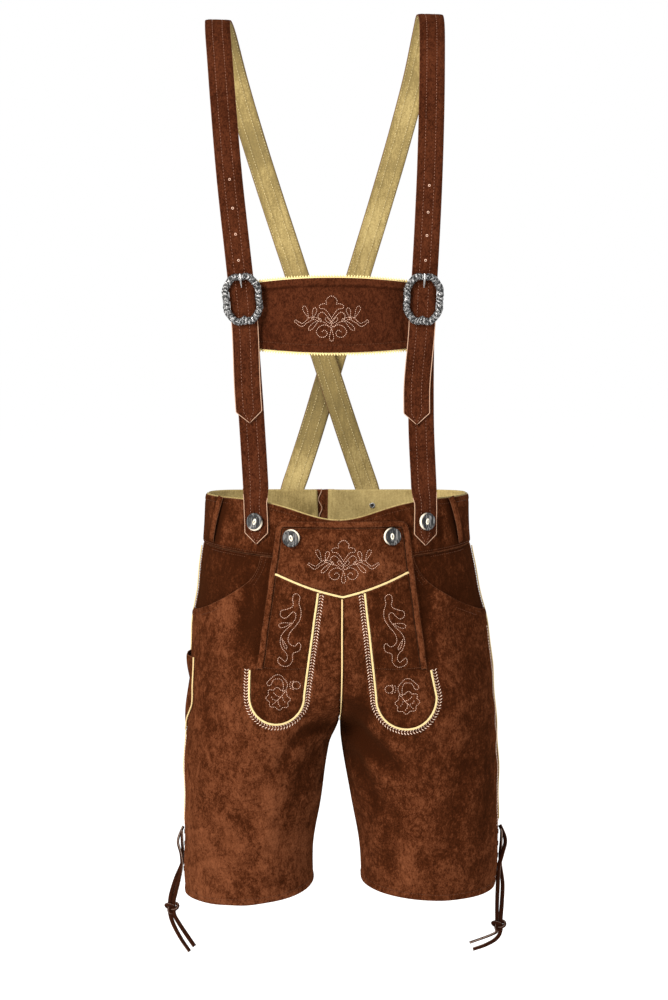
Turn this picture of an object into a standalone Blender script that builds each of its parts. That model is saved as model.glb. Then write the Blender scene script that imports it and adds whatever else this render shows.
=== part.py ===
"""A pair of suede lederhosen with crossed braces, hollow and filled out as when worn.

Metres, +Z up. The front faces -Y and the wearer's left is +X. The origin is the shoulder
line: the braces hang from it, and everything else lies below.
"""

from collections import namedtuple
from math import acos, asin, cos, exp, pi, sin, sqrt

import bmesh
import bpy
from mathutils import Matrix, Vector

MM = 0.001

# Cloth and gaps
SUEDE = 1.5 * MM
LINING = 1.0 * MM
SEAM = 0.6 * MM
LAY = 0.6 * MM
PIPING = 2.4 * MM

# Heights below the shoulder line
WAIST_TOP = -617 * MM
WAIST_SEAM = -679 * MM
WAIST_DIP = 24.5 * MM
WAIST_DIP_REACH = 68 * MM
SEAM_DIP = {-1: 12 * MM, 1: 4 * MM}
FLAP_FOOT = -829 * MM
RISE_OPENS = -815 * MM
CROTCH = -913 * MM
HEM = -1136 * MM
# The seam's dip and the hem's line are blended in above and below these heights
SEAM_BLENDS_FROM = -760 * MM
HEM_BLENDS_FROM = -1000 * MM
CLEFT_POWER = 3.2
# The thighs round out from here down to here, and from this share of the way out from the middle
THIGH_TOP = -740 * MM
THIGH_FULL = -945 * MM
THIGH_FROM = 0.18
THIGH_TO = 0.52

# Front and back of the figure, as the sign of Y
FRONT, BACK = -1, 1
# The wearer's right and left, as the sign of X
RIGHT, LEFT = -1, 1
SIDE_NAME = {RIGHT: "right", LEFT: "left"}
HALF_NAME = {FRONT: "front", BACK: "back"}

Section = namedtuple("Section", "z centre right left front back inner_right inner_left")
BODY = [
    Section(*(value * MM for value in row))
    for row in (
        # z, centre, right, left, front, back, inner right, inner left
        (-600, 2, 173, 168, 109, 104, 0, 0),
        (-640, 2, 175, 168, 112, 107, 0, 0),
        (-680, 3, 179, 170, 115, 113, 0, 0),
        (-735, 5, 188, 179, 118, 123, 0, 0),
        (-785, 5, 194, 189, 121, 132, 0, 0),
        (-830, 5, 196, 195, 121, 134, 0, 0),
        (-875, 4, 197, 201, 120, 129, 0, 0),
        (-913, 2, 199, 206, 116, 120, 0.3, 0.3),
        (-945, 0, 200, 209, 111, 113, 11, 4.5),
        (-1020, 0, 201, 211, 102, 104, 22, 17.5),
        (-1080, 0, 203, 212, 96, 98, 32, 28),
        (-1150, 0, 201, 205, 92, 94, 31.5, 31),
    )
]

# How far each hem stands from its mean height at the inseam, the middle and the side seam
HEM_LINE = {RIGHT: (9 * MM, -1 * MM, -7 * MM), LEFT: (13 * MM, 5 * MM, 4 * MM)}

# The flap's finished edge inside its binding, as X at the waist top and at the slits' foot
FLAP_TOP = -642.5 * MM
FLAP_EDGE = {RIGHT: (-67 * MM, -93 * MM), LEFT: (78 * MM, 103 * MM)}
BINDING = 8.5 * MM
BINDING_CLOTH = 2.0 * MM
YOKE_POINT = (6 * MM, -735 * MM)
YOKE_END = {RIGHT: -708 * MM, LEFT: -706 * MM}
YOKE_SAG = 2.5 * MM
PIPING_BED = 3.8 * MM
SHIELD_LIFT = 1.0 * MM

ShieldCut = namedtuple("ShieldCut", "neck ankle_in ankle_out heel_out ankle sole")
# The shields' first level row below the yoke
SHIELD_FILLS = -752 * MM
# X of the inner edge at the yoke and at the ankle, X outside, and the heights of ankle and sole
SHIELD = {
    RIGHT: ShieldCut(*(v * MM for v in (-26, -44.5, -109, -108, -862, -896))),
    LEFT: ShieldCut(*(v * MM for v in (34.5, 50, 121, 114, -864, -902))),
}

# Pocket mouths: quarter ellipses round the corner of waist seam and side seam
POCKET_WIDTH = 78 * MM
POCKET_DEPTH = 88 * MM
FACING_MARGIN = 16 * MM

# Knife pocket, on the wearer's right side seam: its fore and aft edges as shares of a half round
KNIFE_TOP = -827 * MM
KNIFE_FOOT = -926 * MM
KNIFE_FORE = 0.10
KNIFE_AFT = 0.16
KNIFE_SWELL = 4.5 * MM

# Centre back: the notch that the gusset bridges, as X at its top and at the waist seam
NOTCH = {RIGHT: (-28 * MM, -26 * MM), LEFT: (-13 * MM, -14 * MM)}
GUSSET_WIDTH = 32 * MM

LOOP_WIDTH = 10 * MM
LOOP_PROUD = 3.2 * MM
# Belt loops: half, X at the top and X at the foot
LOOPS = {
    "belt_loop_front_right": (FRONT, -147 * MM, -160 * MM),
    "belt_loop_front_left": (FRONT, 142 * MM, 156 * MM),
    "belt_loop_back_right": (BACK, -122 * MM, -124 * MM),
    "belt_loop_back_left": (BACK, 118 * MM, 120 * MM),
}
LOOP_TOP = -616 * MM
LOOP_FOOT = -675 * MM

# Braces
BRACE = 32 * MM
BRACE_GAP = 0.4 * MM
# What lies behind this Y is the back of a brace; below this height it settles on the waistband
SHOULDER_Y = -12 * MM
GARMENT_TOP = -600 * MM
SETTLING = 20 * MM
TAIL_LIFT = 3.8 * MM
BUCKLE_Z = -368 * MM
BUCKLE_SIZE = (49 * MM, 63 * MM)
BUCKLE_WIRE = 8 * MM
TAIL_TIP = -523 * MM
TAB_HEAD = -350 * MM
TAIL_SETTLES = -300 * MM
POINT_LENGTH = 14 * MM
BRACE_STEP = 31 * MM

# Middle lines of the braces on a general figure, from the front point up, over and down behind
ROUTE = {
    RIGHT: (
        (-101, -92, -673), (-101, -92.5, -645), (-102.5, -94, -605), (-107, -98, -523), (-113, -102, -430),
        (-117.5, -103, -368), (-125, -100, -300), (-134, -88, -220), (-141.5, -69, -140), (-148, -42, -68),
        (-152, -18, -26), (-152, 8, -15), (-146, 34, -32), (-133, 62, -84), (-112, 84, -156), (-86, 99, -238),
        (-58, 107, -323), (-12, 109, -465), (14, 109, -544), (37, 107.5, -612), (46, 106, -646), (50, 106, -666),
    ),
    LEFT: (
        (108, -90, -675), (108, -90.5, -645), (107.5, -92, -605), (103.5, -98, -523), (103, -102, -430),
        (105, -103, -368), (109, -100, -300), (113, -88, -220), (116, -69, -140), (118, -42, -66),
        (118.5, -18, -20), (116, 8, -8), (112, 34, -26), (101, 62, -80), (81, 84, -156), (57, 100, -238),
        (31, 110, -323), (-12, 115.5, -465), (-36, 113, -544), (-58, 106.5, -612), (-67, 103.5, -646),
        (-71, 103, -666),
    ),
}

# Chest piece between the braces: X of its two ends, its edges at the middle and at the ends
CHEST_ENDS = (-129 * MM, 117 * MM)
CHEST_TOP = (-341.5 * MM, -351 * MM)
CHEST_FOOT = (-433.5 * MM, -425 * MM)
CHEST_BOW = 19 * MM
CHEST_FREE = 0.72
PINKING = 3 * MM

# Buttons: node name, route side or flap, X and Z
BUTTON = 22.5 * MM
BUTTON_THICK = 4.2 * MM
BUTTON_SHANK = 1.6 * MM
FLAP_BUTTONS = {"flap_button_right": (-57 * MM, -664 * MM), "flap_button_left": (66 * MM, -662 * MM)}
BRACE_BUTTON_Z = -645 * MM

# Laces at the side vents
LACE = 4.4 * MM
LACES = {
    "lace_right_inner": (
        (-205, -12, -1062), (-205.3, -5, -1078), (-205.3, 4, -1094), (-206.5, 5, -1110), (-214, 3, -1128),
        (-220, 1, -1147), (-222.3, 0, -1160), (-222.3, 0, -1176), (-218, -2, -1190), (-208, -6, -1208),
        (-196, -9, -1225),
    ),
    "lace_right_outer": (
        (-205, 12, -1062), (-211.2, 1, -1078), (-206.8, -8, -1094), (-206, -8, -1110), (-210, -4, -1130),
        (-214.5, -1, -1148), (-217.3, 0, -1160), (-217.3, 0, -1176), (-211.5, 2, -1189), (-201.5, 0, -1204),
        (-190, -3, -1220),
    ),
    "lace_left_inner": (
        (215, -12, -1060), (215.4, -5, -1077), (215.2, 4, -1094), (215.5, 5, -1112), (218.5, 3, -1136),
        (217.5, 1, -1162), (216, 0, -1184), (216, 0, -1200), (210, -2, -1210), (196, -6, -1217),
        (179, -9, -1222),
    ),
    "lace_left_outer": (
        (215, 12, -1060), (221.4, 1, -1077), (216.6, -8, -1094), (212, -8, -1112), (211.5, -4, -1136),
        (211, -1, -1162), (211, 0, -1184), (211, 0, -1200), (205, 2, -1205.5), (192, 0, -1210),
        (175, -3, -1215),
    ),
}
KNOTS = {"lace_knot_right": (-219.8, 0, -1168), "lace_knot_left": (213.5, 0, -1192)}
KNOT_RING = (8.3 * MM, 2.6 * MM)
KNOT_DEPTH = 0.74

# Looks of the solids: colour, roughness, metallic
FINISHES = {
    "suede": ((0.09, 0.032, 0.015, 1), 0.95, 0.0),
    "brace_suede": ((0.085, 0.027, 0.013, 1), 0.9, 0.0),
    "lining": ((0.52, 0.38, 0.15, 1), 0.85, 0.0),
    "piping": ((0.85, 0.63, 0.27, 1), 0.6, 0.0),
    "silver": ((0.35, 0.34, 0.33, 1), 0.35, 1.0),
    "horn": ((0.02, 0.02, 0.022, 1), 0.3, 0.0),
}


def clear_scene():
    for item in list(bpy.data.objects):
        bpy.data.objects.remove(item)


def collection(name):
    made = bpy.data.collections.new(name)
    bpy.context.scene.collection.children.link(made)
    return made


def material(name, finish):
    colour, roughness, metallic = FINISHES[finish]
    made = bpy.data.materials.new(name)
    made.use_nodes = True
    shader = made.node_tree.nodes["Principled BSDF"]
    shader.inputs["Base Color"].default_value = colour
    shader.inputs["Roughness"].default_value = roughness
    shader.inputs["Metallic"].default_value = metallic
    made.diffuse_color = colour
    return made


def place(name, data, group, finish):
    data.materials.append(material(name, finish))
    item = bpy.data.objects.new(name, data)
    group.objects.link(item)
    return item


# --- the body's surface -----------------------------------------------------------------


def section_at(z):
    """The body's measures at a height, on smooth curves through the table's rows."""
    rows = BODY
    last = len(rows) - 1
    index = 0
    while index < last - 1 and z < rows[index + 1].z:
        index += 1
    low, high = rows[index], rows[index + 1]
    before, after = rows[max(index - 1, 0)], rows[min(index + 2, last)]
    span = high.z - low.z
    share = (z - low.z) / span
    values = []
    for column in range(1, len(low)):
        slope_low = (high[column] - before[column]) / (high.z - before.z)
        slope_high = (after[column] - low[column]) / (after.z - low.z)
        values.append(hermite(low[column], high[column], slope_low * span, slope_high * span, share))
    return Section(z, *values)


def hermite(start, end, slope_start, slope_end, share):
    square = share * share
    cube = square * share
    return (
        (2 * cube - 3 * square + 1) * start
        + (cube - 2 * square + share) * slope_start
        + (3 * square - 2 * cube) * end
        + (cube - square) * slope_end
    )


def leg_share(z):
    """0 where the trunk is one round, 1 where it has parted into two legs."""
    share = (RISE_OPENS - z) / (RISE_OPENS - CROTCH)
    return min(max(share, 0), 1) ** CLEFT_POWER


def ease(share):
    share = min(max(share, 0), 1)
    return share * share * (3 - 2 * share)


def thigh_share(t, z):
    """As leg_share, but away from the middle the trunk turns into thighs over a longer height."""
    legs = leg_share(z)
    full = ease((THIGH_TOP - z) / (THIGH_TOP - THIGH_FULL))
    return legs + (max(full, legs) - legs) * ease((t - THIGH_FROM) / (THIGH_TO - THIGH_FROM))


def widths(side, z):
    row = section_at(z)
    if side == RIGHT:
        return row.centre, row.right, row.inner_right, row
    return row.centre, row.left, row.inner_left, row


def round_ends(side, z):
    """Middle and reach of the cosine that gives X, from the trunk's and the leg's rounds."""
    centre, outer, inner, _ = widths(side, z)
    inner = inner if z < CROTCH else 0
    legs = leg_share(z)
    middle = (1 - legs) * outer / 2 + legs * (outer + inner) / 2
    reach = (1 - legs) * outer / 2 + legs * (outer - inner) / 2
    return centre, middle, reach


def body(side, half, t, z):
    """A point of the outer surface: t is 0 at the centre or inseam and 1 at the side seam."""
    centre, middle, reach = round_ends(side, z)
    row = section_at(z)
    depth = row.front if half == FRONT else row.back
    across = (1 - cos(pi * t)) / 2
    trunk = sqrt(max(1 - across * across, 0))
    thigh = thigh_share(t, z)
    y = depth * ((1 - thigh) * trunk + thigh * sin(pi * t))
    x = middle - reach * cos(pi * t)
    return Vector((centre + side * max(x, SEAM / 2), half * max(y, SEAM / 2), z))


def normal_at(side, half, t, z):
    step_t, step_z = 0.004, 1.5 * MM
    low_t, high_t = max(t - step_t, 0), min(t + step_t, 1)
    along = body(side, half, high_t, z) - body(side, half, low_t, z)
    up = body(side, half, t, z + step_z) - body(side, half, t, z - step_z)
    outward = along.cross(up) * (-side * half)
    return outward.normalized()


def t_at(side, x, z):
    centre, middle, reach = round_ends(side, z)
    value = (middle - side * (x - centre)) / reach
    return acos(min(max(value, -1), 1)) / pi


def side_of(x, z):
    return LEFT if x >= section_at(z).centre else RIGHT


def on_body(half, x, z, lift=0.0):
    side = side_of(x, z)
    t = t_at(side, x, z)
    return body(side, half, t, z) + normal_at(side, half, t, z) * lift


def angle_of(x, z):
    """The signed angle round the trunk, from the middle to a quarter turn at the side seams."""
    side = side_of(x, z)
    centre, outer, _, _ = widths(side, z)
    return side * asin(min(abs(x - centre) / outer, 1))


def on_trunk(half, angle, z, lift=0.0):
    side = LEFT if angle >= 0 else RIGHT
    t = acos(1 - 2 * sin(abs(angle))) / pi
    return body(side, half, t, z) + normal_at(side, half, t, z) * lift


def waist_top(half, x):
    if half == BACK:
        return WAIST_TOP - 5 * MM * max(1 - (x / 0.17) ** 2, 0)
    return WAIST_TOP - WAIST_DIP * exp(-((x / WAIST_DIP_REACH) ** 2))


def waist_seam(half, x):
    return WAIST_SEAM - SEAM_DIP[half] * max(1 - (x / 0.175) ** 2, 0)


# --- shells, pipings and strips ---------------------------------------------------------


def shell(name, rows, wall, outward, group, finish, grows=1):
    """A sheet through rows of points. It gets its wall outwards (1) or inwards (-1)."""
    mesh = bmesh.new()
    grid = [[mesh.verts.new(point) for point in row] for row in rows]
    faces = []
    for upper, lower in zip(grid, grid[1:]):
        for i in range(len(upper) - 1):
            faces.append(mesh.faces.new((upper[i], upper[i + 1], lower[i + 1], lower[i])))
    middle = faces[len(faces) // 2]
    middle.normal_update()
    if middle.normal.dot(outward) < 0:
        bmesh.ops.reverse_faces(mesh, faces=faces)
    data = bpy.data.meshes.new(name)
    mesh.to_mesh(data)
    mesh.free()
    item = place(name, data, group, finish)
    thick = item.modifiers.new("Wall", "SOLIDIFY")
    thick.thickness = wall
    thick.offset = grows
    thick.use_even_offset = True
    return item


def spread(low, high, count):
    return [low + (high - low) * i / count for i in range(count + 1)]


def smooth_line(points, step):
    """Points a step apart along a smooth curve through the route's own points."""
    points = [Vector(point) for point in points]
    fine = []
    for i in range(len(points) - 1):
        before = points[max(i - 1, 0)]
        after = points[min(i + 2, len(points) - 1)]
        start, end = points[i], points[i + 1]
        for j in range(12):
            share = j / 12
            slopes = (end - before) / 2, (after - start) / 2
            fine.append(hermite(start, end, slopes[0], slopes[1], share))
    fine.append(points[-1])
    return every(fine, step)


def every(points, step):
    """The same line with its points evenly spaced, about a step apart."""
    runs = [(b - a).length for a, b in zip(points, points[1:])]
    total = sum(runs)
    count = max(round(total / step), 1)
    even, index, passed = [points[0].copy()], 0, 0.0
    for k in range(1, count):
        goal = total * k / count
        while passed + runs[index] < goal:
            passed += runs[index]
            index += 1
        even.append(points[index].lerp(points[index + 1], (goal - passed) / runs[index]))
    even.append(points[-1].copy())
    return even


def tube(name, points, diameter, group, finish, roundness=0):
    data = bpy.data.curves.new(name, "CURVE")
    data.dimensions = "3D"
    data.bevel_depth = diameter / 2
    data.bevel_resolution = roundness
    data.use_fill_caps = True
    line = data.splines.new("POLY")
    line.points.add(len(points) - 1)
    for control, point in zip(line.points, points):
        control.co = (*point, 1)
    return place(name, data, group, finish)


def strip(points, normals, width, lift):
    """Rows of three points across a strip that follows a line, with its face along the normals."""
    rows = []
    for i, (point, normal) in enumerate(zip(points, normals)):
        tangent = (points[min(i + 1, len(points) - 1)] - points[max(i - 1, 0)]).normalized()
        across = tangent.cross(normal).normalized() * (width / 2)
        raised = point + normal * lift
        rows.append([raised - across, raised, raised + across])
    return rows


def pointed(rows, length, at_start):
    """The strip's rows with a point on one end, as long as given."""
    ends = rows if at_start else rows[::-1]
    tip = ends[0][1]
    kept = list(ends)
    while (kept[0][1] - tip).length < length:
        previous = kept.pop(0)
    share = (length - (previous[1] - tip).length) / (kept[0][1] - previous[1]).length
    shoulder = [a.lerp(b, share) for a, b in zip(previous, kept[0])]
    nib = [tip.lerp(corner, 0.03) for corner in ends[0]]
    trimmed = [nib, shoulder] + kept
    return trimmed if at_start else trimmed[::-1]


# --- trousers ---------------------------------------------------------------------------


def hem_height(side, t, z):
    """The table's height with the hem's own line blended in over the lowest part of the leg."""
    inner, middle, outer = HEM_LINE[side]
    share = min(max((HEM_BLENDS_FROM - z) / (HEM_BLENDS_FROM - HEM), 0), 1)
    sweep = (1 - t) * (1 - 2 * t) * inner + 4 * t * (1 - t) * middle + t * (2 * t - 1) * outer
    return z + sweep * share * share


def seam_height(half, x, z):
    """The height with the waist seam's dip blended in over the highest part."""
    share = min(max((z - SEAM_BLENDS_FROM) / (WAIST_SEAM - SEAM_BLENDS_FROM), 0), 1)
    return z + (waist_seam(half, x) - SEAM / 2 - WAIST_SEAM) * share * share


PANEL_HEIGHTS = (
    spread(WAIST_SEAM, RISE_OPENS, 6)
    + [-838 * MM, -860 * MM, -878 * MM, -893 * MM, -905 * MM, CROTCH]
    + [-922 * MM, -938 * MM]
    + spread(-962 * MM, HEM, 6)
)
PANEL_COLUMNS = 9


def make_panel(side, half, group):
    rows = []
    for z in PANEL_HEIGHTS:
        row = []
        for k in range(PANEL_COLUMNS + 1):
            t = k / PANEL_COLUMNS
            x = body(side, half, t, z).x
            height = hem_height(side, t, seam_height(half, x, z))
            row.append(body(side, half, t, height))
        rows.append(row)
    name = f"{HALF_NAME[half]}_panel_{SIDE_NAME[side]}"
    outward = normal_at(side, half, 0.5, PANEL_HEIGHTS[len(PANEL_HEIGHTS) // 2])
    return shell(name, rows, SUEDE, outward, group, "suede", grows=-1)


def cut_pocket(panel, side, cutters):
    """Takes the top outer corner off a front panel, along the pocket's mouth."""
    seam = body(side, FRONT, 1, WAIST_SEAM).x
    corner = (seam + side * 30 * MM, WAIST_SEAM + 12 * MM)
    outline = [corner]
    mouth = spread(0, pi / 2, 12)
    outline.append((seam - side * POCKET_WIDTH, WAIST_SEAM + 12 * MM))
    for angle in mouth:
        outline.append((seam - side * POCKET_WIDTH * cos(angle), WAIST_SEAM - POCKET_DEPTH * sin(angle)))
    outline.append((seam + side * 30 * MM, WAIST_SEAM - POCKET_DEPTH))
    mesh = bmesh.new()
    face = mesh.faces.new([mesh.verts.new((x, -0.2, z)) for x, z in outline])
    pulled = bmesh.ops.extrude_face_region(mesh, geom=[face])
    moved = [item for item in pulled["geom"] if isinstance(item, bmesh.types.BMVert)]
    bmesh.ops.translate(mesh, verts=moved, vec=(0, 0.2 + 1 * MM, 0))
    bmesh.ops.recalc_face_normals(mesh, faces=mesh.faces)
    name = f"pocket_cutter_{SIDE_NAME[side]}"
    data = bpy.data.meshes.new(name)
    mesh.to_mesh(data)
    mesh.free()
    cutter = bpy.data.objects.new(name, data)
    cutter.hide_render = True
    cutter.display_type = "WIRE"
    cutters.objects.link(cutter)
    cut = panel.modifiers.new("Pocket mouth", "BOOLEAN")
    cut.operation = "DIFFERENCE"
    cut.object = cutter


def make_facing(side, group):
    seam = body(side, FRONT, 1, WAIST_SEAM).x
    inner = seam - side * (POCKET_WIDTH + FACING_MARGIN)
    rows = []
    for z in spread(WAIST_SEAM - SEAM, WAIST_SEAM - POCKET_DEPTH - FACING_MARGIN, 5):
        first = t_at(side, inner, z)
        row = []
        for t in spread(first, 1, 5):
            x = body(side, FRONT, t, z).x
            height = seam_height(FRONT, x, z)
            row.append(body(side, FRONT, t, height) - normal_at(side, FRONT, t, height) * (SUEDE + 2 * LAY))
        row[-1].y = min(row[-1].y, -SEAM / 2)
        rows.append(row)
    outward = normal_at(side, FRONT, 0.8, WAIST_SEAM)
    return shell(f"pocket_facing_{SIDE_NAME[side]}", rows, LINING, outward, group, "suede", grows=-1)


def notch_x(side, z):
    top, foot = NOTCH[side]
    return top + (foot - top) * (z - WAIST_TOP) / (WAIST_SEAM - WAIST_TOP)


def make_waistband(side, half, group, lining=False):
    """The band, or the lining inside it, from the middle to the side seam."""
    rows = []
    lift = -(SUEDE + LAY) if lining else 0.0
    count = 10
    for share in spread(0, 1, 2):
        row = []
        for k in range(count + 1):
            level = WAIST_TOP + (WAIST_SEAM - WAIST_TOP) * share
            inner = notch_x(side, level) if half == BACK else section_at(level).centre + side * SEAM / 2
            start = angle_of(inner, level)
            angle = start + (side * pi / 2 - start) * k / count
            x = on_trunk(half, angle, level).x
            top = waist_top(half, x)
            foot = waist_seam(half, x) + (2 * SEAM if lining else SEAM / 2)
            point = on_trunk(half, angle, top + (foot - top) * share, lift)
            point.y = half * max(abs(point.y), SEAM / 2)
            row.append(point)
        rows.append(row)
    kind = "waistband_lining" if lining else "waistband"
    name = f"{kind}_{HALF_NAME[half]}_{SIDE_NAME[side]}"
    outward = on_trunk(half, side * 0.8, -0.65) - Vector((0, 0, -0.65))
    finish = "lining" if lining else "suede"
    wall = LINING if lining else SUEDE
    return shell(name, rows, wall, outward, group, finish, grows=-1)


def make_gusset(group):
    middle = sum(notch_x(side, WAIST_TOP) for side in (RIGHT, LEFT)) / 2
    rows = []
    for z in spread(WAIST_TOP - 4 * MM, WAIST_SEAM - 12 * MM, 4):
        xs = spread(middle - GUSSET_WIDTH / 2, middle + GUSSET_WIDTH / 2, 4)
        rows.append([on_body(BACK, x, z, LAY) for x in xs])
    return shell("back_gusset", rows, SUEDE, Vector((0, 1, 0)), group, "suede")


# --- flap -------------------------------------------------------------------------------


def flap_edge(side, z):
    top, foot = FLAP_EDGE[side]
    return top + (foot - top) * (z - FLAP_TOP) / (FLAP_FOOT - FLAP_TOP)


def yoke_z(x):
    """The yoke's lower edge: two slightly sagging lines that meet in a point."""
    point_x, point_z = YOKE_POINT
    side = RIGHT if x < point_x else LEFT
    end_z = YOKE_END[side]
    end_x = flap_edge(side, end_z)
    share = min(max((x - point_x) / (end_x - point_x), 0), 1)
    return point_z + (end_z - point_z) * share - YOKE_SAG * sin(pi * share)


def make_yoke(group):
    top = FLAP_TOP - BINDING - SEAM
    columns = 12
    rows = []
    for share in spread(0, 1, 4):
        row = []
        for k in range(columns + 1):
            side = RIGHT if k < columns / 2 else LEFT
            reach = abs(2 * k / columns - 1)
            z = top
            for _ in range(3):
                x = YOKE_POINT[0] + (flap_edge(side, z) - YOKE_POINT[0]) * reach
                z = top + (yoke_z(x) - top) * share
            row.append(on_body(FRONT, x, z, LAY))
        rows.append(row)
    return shell("flap_yoke", rows, SUEDE, Vector((0, -1, 0)), group, "suede")


def make_binding(group):
    """The strip round the flap: up one slit, along the top and down the other."""
    foot = FLAP_FOOT + SEAM
    top_in = FLAP_TOP - BINDING
    corners_in = [
        (flap_edge(RIGHT, foot) - SEAM, foot), (flap_edge(RIGHT, top_in) - SEAM, top_in),
        (flap_edge(LEFT, top_in) + SEAM, top_in), (flap_edge(LEFT, foot) + SEAM, foot),
    ]
    corners_out = [
        (flap_edge(RIGHT, foot) - SEAM - BINDING, foot), (flap_edge(RIGHT, top_in) - BINDING, FLAP_TOP),
        (flap_edge(LEFT, top_in) + BINDING, FLAP_TOP), (flap_edge(LEFT, foot) + SEAM + BINDING, foot),
    ]
    counts = (13, 12, 13)
    inner, outer = [], []
    for line, corners in ((inner, corners_in), (outer, corners_out)):
        for (start, end), count in zip(zip(corners, corners[1:]), counts):
            for share in spread(0, 1, count)[:-1]:
                line.append(tuple(a + (b - a) * share for a, b in zip(start, end)))
        line.append(corners[-1])
    rows = [[on_body(FRONT, x, z, LAY) for x, z in line] for line in (inner, outer)]
    return shell("flap_binding", rows, BINDING_CLOTH, Vector((0, -1, 0)), group, "suede")


def bed(x, z):
    """Where a piping's middle lies on the front."""
    return on_body(FRONT, x, z, LAY + PIPING / 2)


def make_yoke_piping(group):
    ends = [flap_edge(side, YOKE_END[side]) for side in (RIGHT, LEFT)]
    xs = spread(ends[0] + 1 * MM, YOKE_POINT[0], 7)[:-1] + spread(YOKE_POINT[0], ends[1] - 1 * MM, 7)
    return tube("yoke_piping", [bed(x, yoke_z(x) - PIPING_BED / 2) for x in xs], PIPING, group, "piping")


def make_centre_piping(group):
    """It follows the seam down between the legs, where the two rounds leave it room."""
    points = []
    for z in spread(yoke_z(YOKE_POINT[0]) - PIPING_BED - SEAM, CROTCH + 7 * MM, 15):
        centre = section_at(z).centre
        clear = PIPING / 2 + LAY
        sides = [body(side, FRONT, t_at(side, centre + side * clear, z), z) for side in (RIGHT, LEFT)]
        y = min(point.y for point in sides) - clear
        points.append(Vector((centre, y, z)))
    return tube("centre_piping", points, PIPING * 0.9, group, "piping")


def shield_edges(side, z):
    """X of the shield's inner and outer edges at a height."""
    cut = SHIELD[side]
    top = yoke_z(cut.neck)
    if z >= cut.ankle:
        inner = cut.neck + (cut.ankle_in - cut.neck) * (z - top) / (cut.ankle - top)
        if z > FLAP_FOOT:
            return inner, flap_edge(side, z)
        outer = cut.heel_out + (cut.ankle_out - cut.heel_out) * (z - FLAP_FOOT) / (cut.ankle - FLAP_FOOT)
        return inner, outer
    middle = (cut.ankle_in + cut.ankle_out) / 2
    drop = (z - cut.ankle) / (cut.sole - cut.ankle)
    reach = abs(cut.ankle_out - cut.ankle_in) / 2 * sqrt(max(1 - drop * drop, 0))
    return middle - side * reach, middle + side * reach


def make_shield(side, group):
    cut = SHIELD[side]
    columns = 5
    lower = [cut.ankle + (cut.sole - cut.ankle) * sin(angle) for angle in spread(0, pi / 2 * 0.9, 5)]
    heights = [None] + spread(SHIELD_FILLS, FLAP_FOOT + SEAM, 4) + [FLAP_FOOT - 2 * MM] + lower
    rows = []
    for z in heights:
        row = []
        for share in spread(0, 1, columns):
            height = yoke_z(cut.neck) - PIPING_BED if z is None else z
            for _ in range(3):
                edges = shield_edges(side, height)
                x = edges[0] + (edges[1] - edges[0]) * share
                height = yoke_z(x) - PIPING_BED if z is None else z
            row.append(on_body(FRONT, x, height, SHIELD_LIFT))
        rows.append(row)
    return shell(f"shield_{SIDE_NAME[side]}", rows, SUEDE, Vector((0, -1, 0)), group, "suede")


def shield_line(side, away):
    """The shield's outline from the yoke down, round its foot and up to the slit, moved away."""
    cut = SHIELD[side]
    top = yoke_z(cut.neck) - PIPING_BED - PIPING / 2
    line = [(shield_edges(side, z)[0] - side * away, z) for z in spread(top, cut.ankle, 9)[:-1]]
    middle = (cut.ankle_in + cut.ankle_out) / 2
    wide = abs(cut.ankle_out - cut.ankle_in) / 2 + away
    deep = cut.ankle - cut.sole + away
    for angle in spread(0, pi, 12):
        line.append((middle - side * wide * cos(angle), cut.ankle - deep * sin(angle)))
    line.append((shield_edges(side, FLAP_FOOT - 1 * MM)[1] + side * away, FLAP_FOOT - 3 * MM))
    return line


def make_shield_piping(side, group):
    line = shield_line(side, PIPING / 2 + SEAM + 0.3 * MM)
    return tube(f"shield_piping_{SIDE_NAME[side]}", [bed(x, z) for x, z in line], PIPING, group, "piping")


# --- side seams, knife pocket and belt loops --------------------------------------------


def around_side(side, turn, z, lift):
    """A point round the side seam: turn is 0 on it, below 0 in front of it and above behind."""
    half = FRONT if turn < 0 else BACK
    t = 1 - abs(turn)
    point = body(side, half, t, z)
    if turn == 0:
        point.y = 0
        return point + Vector((side, 0, 0)) * lift
    return point + normal_at(side, half, t, z) * lift


def make_side_piping(name, side, top, foot, group):
    count = max(round((top - foot) / (24 * MM)), 3)
    points = [around_side(side, 0, z, LAY + PIPING / 2) for z in spread(top, foot, count)]
    return tube(name, points, PIPING, group, "piping")


def knife_lift(turn, z):
    """The pocket stands off the leg in two soft swells, one above the other."""
    share = (KNIFE_TOP - z) / (KNIFE_TOP - KNIFE_FOOT)
    across = max(1 - (turn / KNIFE_AFT) ** 2, 0) if turn > 0 else max(1 - (turn / KNIFE_FORE) ** 2, 0)
    swell = abs(cos(1.6 * pi * share)) * (1 - 0.25 * share)
    return LAY + KNIFE_SWELL * swell * across


def knife_reach(z):
    """How far the pocket's edges stand out at a height: it tapers to a blunt point."""
    share = (KNIFE_TOP - z) / (KNIFE_TOP - KNIFE_FOOT)
    return 1 - 0.72 * max(share - 0.62, 0) / 0.38


def make_knife_pocket(group):
    rows = []
    for z in spread(KNIFE_TOP, KNIFE_FOOT, 8):
        reach = knife_reach(z)
        turns = spread(-KNIFE_FORE * reach, 0, 2)[:-1] + spread(0, KNIFE_AFT * reach, 3)
        rows.append([around_side(RIGHT, turn, z, knife_lift(turn, z)) for turn in turns])
    return shell("knife_pocket", rows, SUEDE, Vector((-1, 0, 0)), group, "suede")


def make_knife_piping(group):
    points = []
    for z in spread(KNIFE_TOP, KNIFE_FOOT, 12):
        turn = -KNIFE_FORE * knife_reach(z) - 0.012
        points.append(around_side(RIGHT, turn, z, LAY + PIPING / 2))
    return tube("knife_pocket_piping", points, PIPING, group, "piping")


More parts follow.
